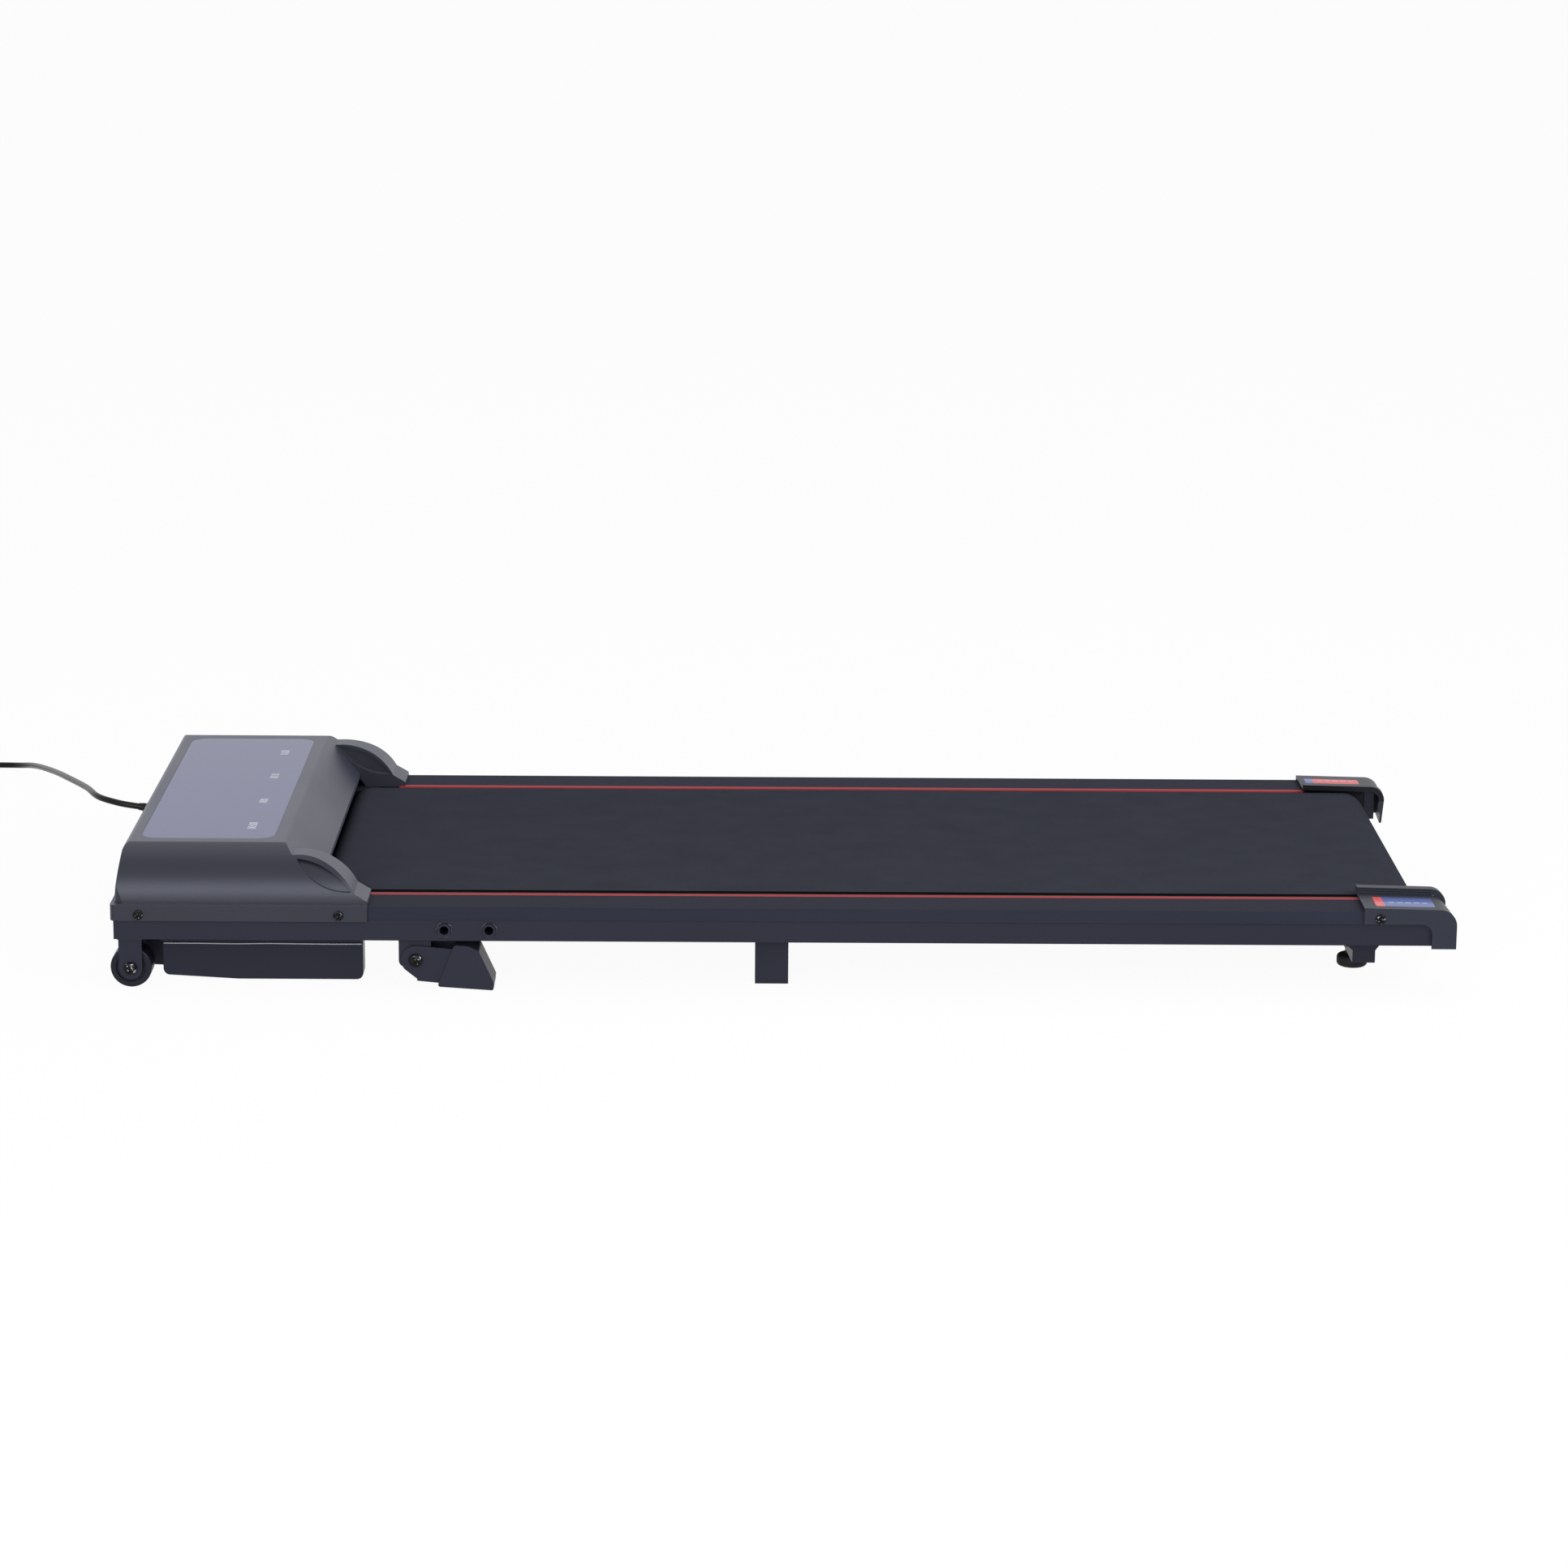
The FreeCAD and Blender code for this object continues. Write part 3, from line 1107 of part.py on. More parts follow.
def from_pivot(points):
    """Places given from the incline foot's pivot."""
    return [(PIVOT_X + x, PIVOT_Z + z) for x, z in points]


def leg_solid(spare, half):
    """Incline leg's side shape as one solid, grown by a gap."""
    heel, toe, sole = from_pivot(LEG_HEEL)
    top_end, low_end = from_pivot((LEG_TOP_END, LEG_LOW_END))
    slope = math.atan2(LEG_EYE - LEG_TOP_END[1], LEG_TOP_END[0])
    crown = (PIVOT_X + LEG_EYE * math.sin(slope), PIVOT_Z + LEG_EYE * math.cos(slope))
    brow = (PIVOT_X - LEG_EYE * math.cos(slope), PIVOT_Z + LEG_EYE * math.sin(slope))
    y0 = -TUBE_GAUGE - half

    def at(point):
        return V(point[0], y0, point[1])

    lobe = math.atan2(heel[1] - PIVOT_Z, heel[0] - PIVOT_X)
    eye_low = (PIVOT_X + LEG_EYE * math.cos(lobe), PIVOT_Z + LEG_EYE * math.sin(lobe))
    corners = [at(point) for point in (top_end, low_end, sole, toe)]
    wire = arc_wire(at(eye_low), at(brow), at(crown), *corners)
    if spare:
        wire = wire.makeOffset2D(spare)
    return Part.Face(wire).extrude(V(0, 2 * half, 0))


def incline_leg():
    """Left incline leg: a folded channel round the bracket, open at the top."""
    outer = leg_solid(0, LEG_OUTER)
    toe_x, toe_z = from_pivot(LEG_HEEL)[1]
    low_x, low_z = from_pivot((LEG_LOW_END,))[0]
    y0, y1 = -TUBE_GAUGE - LEG_INNER, -TUBE_GAUGE + LEG_INNER
    fall = (low_z + LEG_WEB - toe_z) / (low_x - toe_x)
    web_top = [(toe_x - FAR, toe_z), (toe_x, toe_z), (toe_x + FAR, toe_z + fall * FAR), (toe_x + FAR, FAR),
               (toe_x - FAR, FAR)]
    channel = side_plate(web_top, (0,) * len(web_top), y0, y1)
    return outer.cut([channel, pivot_bore(PIVOT_R + RUN_FIT)])


def incline_boot():
    """Left incline foot's plastic boot, a sleeve over the end of the leg."""
    block = side_plate(from_pivot(BOOT_OUTLINE), BOOT_CORNERS, -TUBE_GAUGE - BOOT_OUTER,
                       -TUBE_GAUGE + BOOT_OUTER)
    return block.cut(leg_solid(SEAT_GAP, LEG_OUTER + SEAT_GAP))


def pivot_bolt():
    """Left incline foot's pivot bolt, with a round head outside and a nut inside."""
    y0, y1 = -TUBE_GAUGE - LEG_OUTER - FACE_GAP, -TUBE_GAUGE + LEG_OUTER + FACE_GAP
    length = y1 + PIVOT_HEAD - y0
    bolt = pan_screw(PIVOT_HEAD_R, PIVOT_HEAD, PIVOT_R, length, V(PIVOT_X, y0, PIVOT_Z), V(0, 1, 0))
    nut = rod_y(PIVOT_HEAD_R, y1, y1 + PIVOT_HEAD, PIVOT_X, PIVOT_Z)
    return bolt.fuse(nut).removeSplitter()


def mid_leg():
    """Left middle leg: a short tube flared at its weld."""
    half = MID_LEG_X / 2
    y0, y1 = -MID_LEG_INNER - MID_LEG_Y, -MID_LEG_INNER
    flare_z = FRAME_UNDER - WELD_FLARE
    profile = [(MID_CROSS_X - half, LEG_PAD), (MID_CROSS_X + half, LEG_PAD), (MID_CROSS_X + half, flare_z),
               (MID_CROSS_X + half + WELD_FLARE, FRAME_UNDER), (MID_CROSS_X - half - WELD_FLARE, FRAME_UNDER),
               (MID_CROSS_X - half, flare_z)]
    post = side_plate(profile, (0,) * len(profile), y0, y1)
    inner = half - MID_LEG_WALL
    return post.cut(box(MID_CROSS_X - inner, MID_CROSS_X + inner, y0 + MID_LEG_WALL, y1 - MID_LEG_WALL,
                        LEG_PAD + MID_LEG_WALL, FRAME_UNDER))


def rear_leg():
    """Left rear leg: a plate flared at its weld and bent inward over the foot, with a gusset in the bend."""
    half = REAR_LEG_W / 2
    flare_z = FRAME_UNDER - REAR_FLARE_H
    profile = [(REAR_LEG_X - half, PUCK_H), (REAR_LEG_X + half, PUCK_H), (REAR_LEG_X + half, flare_z),
               (REAR_LEG_X + half + REAR_FLARE_REAR, FRAME_UNDER),
               (REAR_LEG_X - half - REAR_FLARE_FRONT, FRAME_UNDER), (REAR_LEG_X - half, flare_z)]
    outer = -REAR_LEG_Y - REAR_LEG_T
    plate = side_plate(profile, (0,) * len(profile), outer, -REAR_LEG_Y)
    low = PUCK_H + REAR_LEG_T
    x0 = REAR_LEG_X - half
    arm = box(x0, REAR_LEG_X + half, outer, outer + REAR_LEG_REACH, PUCK_H, low)
    corners = [V(x0, outer, low), V(x0, outer, FRAME_UNDER), V(x0, -TUBE_IN, FRAME_UNDER),
               V(x0, outer + REAR_GUSSET_REACH, low), V(x0, outer, low)]
    gusset = Part.Face(Part.makePolygon(corners)).extrude(V(REAR_LEG_T, 0, 0))
    return plate.fuse([arm, gusset]).removeSplitter()


def leg_pad():
    """Left middle leg's rubber pad."""
    half = MID_LEG_X / 2
    return box(MID_CROSS_X - half, MID_CROSS_X + half, -MID_LEG_INNER - MID_LEG_Y, -MID_LEG_INNER, 0, LEG_PAD)


def rear_foot():
    """Left rear rubber foot: a disc rounded at both edges, on a neck."""
    disc = rod_z(PUCK_R, 0, PUCK_DISC, REAR_LEG_X, -PUCK_Y)
    rims = [edge for edge in disc.Edges if isinstance(edge.Curve, Part.Circle)]
    neck = rod_z(PUCK_NECK_R, PUCK_DISC - PUCK_EDGE, PUCK_H, REAR_LEG_X, -PUCK_Y)
    return disc.makeFillet(PUCK_EDGE, rims).fuse(neck).removeSplitter()


def cap_block(inset, top, roll, y0, y1, low):
    """End cap's rounded side shape as a solid, drawn in by a wall, with its rear face slanted in plan."""
    slope = CAP_SLANT / (CAP_OUT - RIDGE_IN)
    rear = CAP_END - slope * (CAP_OUT + y0) - inset
    points = [(CAP_FRONT, low), (rear, low), (rear, top - CAP_FALL - inset), (CAP_FRONT, top - inset)]
    outline = Part.Face(side_wire(points, (0, 0, roll - inset, 0), y0))
    return outline.extrude(V(-slope * (y1 - y0), y1 - y0, 0))


def cap_grooves():
    """Fine grooves along the outer wall of the left cap's ridge."""
    room = CAP_RIDGE_RISE - 2 * CAP_GROOVE_W
    end = CAP_END - CAP_RIDGE_ROLL - CAP_SLANT
    fall = CAP_FALL * (end - CAP_FRONT) / CAP_LENGTH
    grooves = []
    for low in [CAP_TOP + share * room for share in (1 / 3, 1)]:
        high = low + CAP_GROOVE_W
        points = [(CAP_FRONT, low), (end, low - fall), (end, high - fall), (CAP_FRONT, high)]
        grooves.append(side_plate(points, (0,) * len(points), -RIDGE_OUT, -RIDGE_OUT + CAP_GROOVE))
    return grooves


def end_cap():
    """Left end cap: a rounded cover over the rail's end, with a raised ridge along the belt."""
    cover = cap_block(0, CAP_TOP, CAP_ROLL, -CAP_OUT, -RIDGE_OUT, CAP_LOW)
    hollow = cap_block(CAP_WALL, CAP_TOP, CAP_ROLL, -CAP_OUT + CAP_WALL, -RIDGE_OUT, 0)
    arch = side_plate([(0, 0), (CAP_END - CAP_TAIL, 0), (CAP_END - CAP_TAIL, TUBE_TOP - CAP_LIP),
                       (0, TUBE_TOP - CAP_LIP)], (0, 0, CAP_ARCH, 0), -CAP_OUT, -CAP_OUT + CAP_WALL)
    ridge = cap_block(0, RIDGE_TOP, CAP_RIDGE_ROLL, -RIDGE_OUT, -RIDGE_IN, CAP_LOW)
    under = cap_block(CAP_RIDGE_T, RIDGE_TOP, CAP_RIDGE_ROLL, -RIDGE_OUT, -RIDGE_IN, 0)
    x0 = CAP_END - CAP_ROLL
    skirt = [V(x0, -RIDGE_IN, CAP_SKIRT_Z), V(x0, -RIDGE_IN, 0), V(x0, -TUBE_IN, 0), V(x0, -TUBE_IN, CAP_LOW),
             V(x0, -RIDGE_IN, CAP_SKIRT_Z)]
    slant = Part.Face(Part.makePolygon(skirt))
    key = rod_x(CAP_KEY_R, CAP_END - CAP_SLANT - 2 * CAP_WALL, CAP_END, -TUBE_GAUGE, ROLLER_Z)
    seat = cap_screw_seat()
    hole = rod_y(HOOD_SCREW_R + FACE_GAP, -CAP_OUT, -CAP_OUT + CAP_WALL, seat.x, seat.z)
    web_x = TUBE_REAR + END_PLATE + FACE_GAP
    web_low = FRAME_UNDER + CAP_WEB_LIFT
    web = box(web_x, web_x + CAP_WEB_REACH, -TUBE_IN - CAP_WALL, -TUBE_IN, web_low, CAP_TOP)
    web = web.common(cap_block(0, CAP_TOP, CAP_ROLL, -CAP_OUT, -RIDGE_OUT, CAP_LOW))
    ahead = box(-FAR, CAP_FRONT, -CAP_OUT, 0, 0, FAR)
    cap = cover.cut([hollow, arch]).fuse([ridge.cut(under), web])
    cuts = [slant.extrude(V(CAP_ROLL, 0, 0)), key, hole, ahead] + cap_grooves()
    return cap.cut(cuts).removeSplitter()


def end_cap_screw():
    """Left end cap's side screw."""
    return pan_screw(HOOD_SCREW_HEAD_R, HOOD_SCREW_HEAD, HOOD_SCREW_R, HOOD_SCREW_LENGTH, cap_screw_seat(),
                     V(0, 1, 0))


def switch_housing():
    """Mains switch's case in the front wall, with a round well for the rocker."""
    half_w, half_h = SWITCH_W / 2, SWITCH_H / 2
    case = box(0, SWITCH_DEPTH, -half_w, half_w, -half_h, half_h)
    rim = box(-SWITCH_RIM_T, 0, -half_w - SWITCH_RIM, half_w + SWITCH_RIM, -half_h - SWITCH_RIM,
              half_h + SWITCH_RIM)
    well_half = ROCKER_W / 2 + FACE_GAP
    well = rod_y(ROCKER_R + FACE_GAP, -well_half, well_half, ROCKER_DEPTH, 0)
    pin_half = well_half + ROCKER_PIN_L
    pins = rod_y(ROCKER_PIN_R + RUN_FIT, -pin_half, pin_half, ROCKER_DEPTH, 0)
    return on_front_wall(case.fuse(rim).cut([well, pins]).removeSplitter(), SWITCH_Y, SWITCH_Z)


def power_rocker():
    """Rocker of the mains switch, tilted to its off end, on its own pins."""
    half = ROCKER_W / 2
    drum = rod_y(ROCKER_R, -half, half, ROCKER_DEPTH, 0)
    front = ROCKER_DEPTH - ROCKER_R
    reach = ROCKER_R * math.sin(math.radians(ROCKER_TILT))
    corners = [(front - ROCKER_R, -ROCKER_R), (front, -ROCKER_R), (front + reach, 0), (front, ROCKER_R),
               (front - ROCKER_R, ROCKER_R)]
    face = side_plate(corners, (0,) * len(corners), -half, half)
    pin_half = half + ROCKER_PIN_L
    pins = rod_y(ROCKER_PIN_R, -pin_half, pin_half, ROCKER_DEPTH, 0)
    rocker = drum.cut(face).fuse(pins).removeSplitter()
    rocker.rotate(V(ROCKER_DEPTH, 0, 0), V(0, 1, 0), -ROCKER_TILT)
    return on_front_wall(rocker, SWITCH_Y, SWITCH_Z)


def cord_gland():
    """Strain relief in the front wall, tapering to the lead."""
    shank = rod_x(GLAND_R, -GLAND_FLANGE_T, HOOD_WALL + GLAND_INSIDE, 0, 0)
    flange = rod_x(GLAND_FLANGE_R, -GLAND_FLANGE_T, 0, 0, 0)
    tail = Part.makeCone(GLAND_R, GLAND_TAIL_R, GLAND_TAIL - GLAND_FLANGE_T, V(-GLAND_FLANGE_T, 0, 0),
                         V(-1, 0, 0))
    return on_front_wall(shank.fuse([flange, tail]).removeSplitter(), GLAND_Y, GLAND_Z)


def cord_points():
    """Lead's route from the strain relief to the coil."""
    out = front_wall_normal()
    start = front_wall_point(GLAND_Y, GLAND_Z) + out * GLAND_TAIL
    return [start, start + out * CORD_FIRST_RUN] + [V(*point) for point in CORD_ROUTE]


def tube_along(edges, start, direction):
    """Round tube of the lead along joined edges."""
    circle = Part.Wire(Part.Circle(start, direction, CORD_D / 2).toShape())
    shell = Part.BRepOffsetAPI.MakePipeShell(Part.Wire(edges))
    shell.add(circle)
    shell.build()
    shell.makeSolid()
    return shell.shape()


def power_cord():
    """Lead laid from the strain relief down to the floor: straight runs joined by large tangent arcs."""
    points = cord_points()
    edges, radii = [], []
    here, length = points[0], 0.0
    for before, point, after in zip(points, points[1:], points[2:]):
        back, ahead = before - point, after - point
        shorter = min(back.Length, ahead.Length)
        half = back.getAngle(ahead) / 2
        reach = CORD_SHARE * shorter
        radius = reach * math.tan(half)
        radii.append(round(radius, 1))
        back.normalize()
        ahead.normalize()
        start, end = point + back * reach, point + ahead * reach
        middle = point + (back + ahead).normalize() * (radius / math.sin(half) - radius)
        edges += [Part.makeLine(here, start), Part.Arc(start, middle, end).toShape()]
        length += here.distanceToPoint(start) + edges[-1].Length
        here = end
    edges.append(Part.makeLine(here, points[-1]))
    length += edges[-1].Length
    cord = tube_along(edges, points[0], points[1] - points[0])
    section = math.pi * CORD_D ** 2 / 4
    ratio = cord.Volume / section / length
    print("cord radii", radii, "length", round(length, 1), "volume ratio", round(ratio, 4))
    return cord


def coil_state(turn):
    """Middle of the coil's lead and its direction after a number of turns."""
    lead_end = V(*CORD_ROUTE[-1]) - V(CORD_D, 0, 0)
    outer = COIL_INNER_R + COIL_TURNS_IN * COIL_PITCH
    centre = lead_end - V(0, outer, 0)
    angle = math.pi / 2 + 2 * math.pi * turn
    radius = COIL_INNER_R + abs(turn - COIL_TURNS_IN) * COIL_PITCH
    climb = min(max((turn - COIL_TURNS_IN) / COIL_CLIMB + 0.5, 0.0), 1.0)
    place = centre + V(radius * math.cos(angle), radius * math.sin(angle), climb * COIL_PITCH)
    drift = math.copysign(COIL_PITCH / (2 * math.pi), turn - COIL_TURNS_IN)
    if turn in (0, COIL_TURNS_IN):
        drift = 0.0
    rising = 0.0 < climb < 1.0
    rise = COIL_PITCH / (COIL_CLIMB * 2 * math.pi) if rising else 0.0
    ahead, outward = V(-math.sin(angle), math.cos(angle), 0), V(math.cos(angle), math.sin(angle), 0)
    along = ahead * radius + outward * drift + V(0, 0, rise)
    return place, along.normalize()


def arc_from(start, direction, end):
    """Arc that leaves a point in a direction and reaches another."""
    chord = end - start
    lean = direction.getAngle(chord)
    unit = V(chord).normalize()
    side = (direction - unit * direction.dot(unit)).normalize()
    return Part.Arc(start, start + chord / 2 + side * (chord.Length / 2 * math.tan(lean / 2)), end).toShape()


def biarc(start, leaving, end, arriving):
    """Two tangent arcs between two places with given directions."""
    chord = end - start
    both_ways = leaving + arriving
    bend = 2 * (1 - leaving.dot(arriving))
    reach = (math.sqrt(chord.dot(both_ways) ** 2 + bend * chord.dot(chord)) - chord.dot(both_ways)) / bend
    joint = (start + end + (leaving - arriving) * reach) / 2
    first = arc_from(start, leaving, joint)
    joint_way = (end - arriving * reach - start - leaving * reach).normalize()
    return [first, arc_from(joint, joint_way, end)]


def coil_ends():
    """Last place of the coil's lead and its direction."""
    return coil_state(COIL_TURNS_IN + COIL_TURNS_OUT)


def cord_coil():
    """Spare lead, wound inward on the floor and outward in a second layer."""
    total = COIL_TURNS_IN + COIL_TURNS_OUT
    states = [coil_state(step * COIL_STEP) for step in range(round(total / COIL_STEP) + 1)]
    lead = V(*CORD_ROUTE[-1])
    edges = [Part.makeLine(lead, states[0][0])]
    for (start, leaving), (end, arriving) in zip(states, states[1:]):
        edges += biarc(start, leaving, end, arriving)
    end, arriving = states[-1]
    edges.append(Part.makeLine(end, end + arriving * CORD_D))
    length = sum(edge.Length for edge in edges)
    print("coil least gap to itself", round(coil_gap(edges), 2), "length", round(length, 1))
    return tube_along(edges, lead, V(-1, 0, 0))


def coil_gap(edges):
    """Least gap between stretches of the coil that are more than half a turn apart."""
    points, travelled = [], 0.0
    for edge in edges:
        count = max(2, round(edge.Length / GAP_STEP))
        for point in edge.discretize(count)[:-1]:
            points.append((travelled, point))
            travelled += edge.Length / (count - 1)
    apart = math.pi * COIL_INNER_R
    gaps = [a.distanceToPoint(b) for at_a, a in points for at_b, b in points if at_b - at_a > apart]
    return min(gaps) - CORD_D


def coil_tie():
    """Strap round all the turns of the coil, on the side away from the pad."""
    centre = coil_state(0)[0] - V(0, COIL_INNER_R + COIL_TURNS_IN * COIL_PITCH, 0)
    half = TIE_W / 2
    outer = COIL_INNER_R + (COIL_TURNS_IN - 0.5) * COIL_PITCH + CORD_D / 2 + 2 * FACE_GAP
    inner = math.sqrt((COIL_INNER_R - CORD_D / 2) ** 2 - half ** 2) - FACE_GAP
    top = centre.z + COIL_PITCH + CORD_D / 2 + FACE_GAP
    corner = CORD_D / 2

    def loop(spare):
        corners = [V(centre.x - half, centre.y - outer - spare, TIE_T - spare),
                   V(centre.x - half, centre.y - inner + spare, TIE_T - spare),
                   V(centre.x - half, centre.y - inner + spare, top + spare),
                   V(centre.x - half, centre.y - outer - spare, top + spare)]
        return Part.Face(corner_wire(corners, (corner + spare,) * 4))

    return loop(TIE_T).cut(loop(0)).extrude(V(TIE_W, 0, 0))


def power_plug():
    """Plain moulded mains plug with two round pins, lying beside the coil."""
    end, along = coil_ends()
    face = end + along * CORD_D
    nose, half_w, half_h = CORD_D / 2 + FACE_GAP, PLUG_W / 2, PLUG_H / 2
    neck = Part.makeCone(nose, half_h - FACE_GAP, PLUG_NOSE)
    body = flat_plate([(-half_w, -half_h), (half_w, -half_h), (half_w, half_h), (-half_w, half_h)],
                      (half_h / 2,) * 4, PLUG_NOSE, PLUG_L)
    feet = [V(side * PLUG_PIN_PITCH / 2, 0, PLUG_L) for side in BOTH_SIDES]
    pins = [Part.makeCylinder(PLUG_PIN_R, PLUG_PIN_L, foot) for foot in feet]
    plug = neck.fuse([body] + pins).removeSplitter()
    across = V(0, 0, 1).cross(along)
    plug.Placement = FreeCAD.Placement(V(face), FreeCAD.Rotation(across, V(0, 0, 1), along, "XYZ"))
    return plug


def save_pair(name, shape):
    """Write a left piece and its right copy as two nodes."""
    save(f"left_{name}", shape)
    save(f"right_{name}", mirrored(shape))


save_pair("side_tube", side_tube())
save("front_cross_plate", front_plate())
save("motor_cross_tubes", *motor_cross_tubes())
save("deck_cross_tubes", *deck_cross_tubes())
save("handrail_bosses", *handrail_bosses())
save_pair("foot_rail", foot_rail())
save("red_stripes", *both(red_stripe()))
save_pair("end_cap", end_cap())
save("end_cap_screws", *both(end_cap_screw()))
save("motor_hood", motor_hood())
save("hood_screws", *hood_screws())
save("display_lens", display_lens())
save("display_board", display_board())
save("motor_tray", motor_tray())
save("tray_screws", *tray_screws())
save("motor_can", motor_can())
save("motor_rotor", motor_rotor())
save("motor_shaft", motor_shaft())
save("motor_pulley", motor_pulley())
save("flywheel_fan", flywheel_fan())
save("motor_saddle", *motor_saddles())
save("motor_clamp", *motor_clamps())
save("motor_bolts", *motor_bolts())
save("motor_controller", motor_controller())
save("drive_belt", drive_belt())
save("front_axle", front_axle())
save("front_roller", roller(FRONT_ROLLER_X))
save("front_bearings", *bearings(FRONT_ROLLER_X))
save("roller_pulley", roller_pulley())
save("rear_axle", rear_axle())
save("rear_roller", roller(REAR_ROLLER_X))
save("rear_bearings", *bearings(REAR_ROLLER_X))
save_pair("adjuster_bolt", adjuster_bolt())
save("running_belt", running_belt())
save("running_deck", running_deck())
save("deck_cushions", *deck_cushions())
save("deck_screws", *[deck_screw(x, y) for x, y in cushion_places()])
save("switch_housing", switch_housing())
save("power_rocker", power_rocker())
save("cord_gland", cord_gland())
save("power_cord", power_cord())
save("cord_coil", cord_coil())
save("coil_tie", coil_tie())
save("power_plug", power_plug())
save("wheel_forks", *both(wheel_fork()))
save_pair("wheel", wheel())
save("wheel_axle_bolts", *both(wheel_bolt()))
save("incline_brackets", *both(incline_bracket()))
save_pair("incline_leg", incline_leg())
save_pair("incline_boot", incline_boot())
save("incline_pivot_bolts", *both(pivot_bolt()))
save("frame_legs", *both(mid_leg()), *both(rear_leg()))
save("rubber_feet", *both(leg_pad()), *both(rear_foot()))
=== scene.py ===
"""Looks of a low walking pad: finishes, belt, mains lead, labels, marks, welds, trim and studio."""

import json
import logging
import math
from dataclasses import dataclass
from enum import Enum
from typing import Sequence

import bpy
from mathutils import Matrix, Vector

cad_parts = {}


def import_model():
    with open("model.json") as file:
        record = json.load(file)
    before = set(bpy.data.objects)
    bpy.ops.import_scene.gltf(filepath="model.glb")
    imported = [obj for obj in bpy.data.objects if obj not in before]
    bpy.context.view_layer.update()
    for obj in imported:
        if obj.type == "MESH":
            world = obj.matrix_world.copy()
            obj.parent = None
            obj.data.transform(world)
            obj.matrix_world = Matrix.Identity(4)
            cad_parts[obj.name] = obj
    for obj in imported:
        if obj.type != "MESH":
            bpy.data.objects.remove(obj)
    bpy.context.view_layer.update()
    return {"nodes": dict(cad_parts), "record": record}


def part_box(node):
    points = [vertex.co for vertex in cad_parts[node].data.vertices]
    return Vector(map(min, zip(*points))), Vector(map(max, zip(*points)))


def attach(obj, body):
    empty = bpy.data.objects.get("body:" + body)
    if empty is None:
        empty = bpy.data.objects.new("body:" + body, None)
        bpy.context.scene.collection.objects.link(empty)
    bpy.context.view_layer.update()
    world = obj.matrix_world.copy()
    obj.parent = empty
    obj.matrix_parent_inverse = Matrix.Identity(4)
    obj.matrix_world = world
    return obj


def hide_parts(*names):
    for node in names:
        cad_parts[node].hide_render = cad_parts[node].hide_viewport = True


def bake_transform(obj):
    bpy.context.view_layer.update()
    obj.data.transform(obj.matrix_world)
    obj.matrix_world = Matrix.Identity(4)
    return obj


LOG = logging.getLogger("walking_pad")
Colour = tuple[float, float, float]
Point = tuple[float, float, float]
MM = 0.001
SIDES = (-1, 1)
WHITE: Colour = (1.0, 1.0, 1.0)
SPLINE_ORDER = 3
# Numbers that all finishes share
IOR = 1.5
EDGE_SAMPLES = 4
TONE_DETAIL = 4.0
GRAIN_DETAIL = 2.0
WAVE_DETAIL = 1.0
PORE_DETAIL = 2.0
PORE_SCALE = 4.0
PORE_DEPTH = 0.3
THREAD_WOBBLE = 0.6
FUZZ_DETAIL = 3.0
RING_WOBBLE = 1.5
SPOT_DETAIL = 1.0


class Body(Enum):
    """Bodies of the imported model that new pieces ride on."""

    FRAME = "frame"
    REAR_AXLE = "rear_axle"
    ROCKER = "power_rocker"


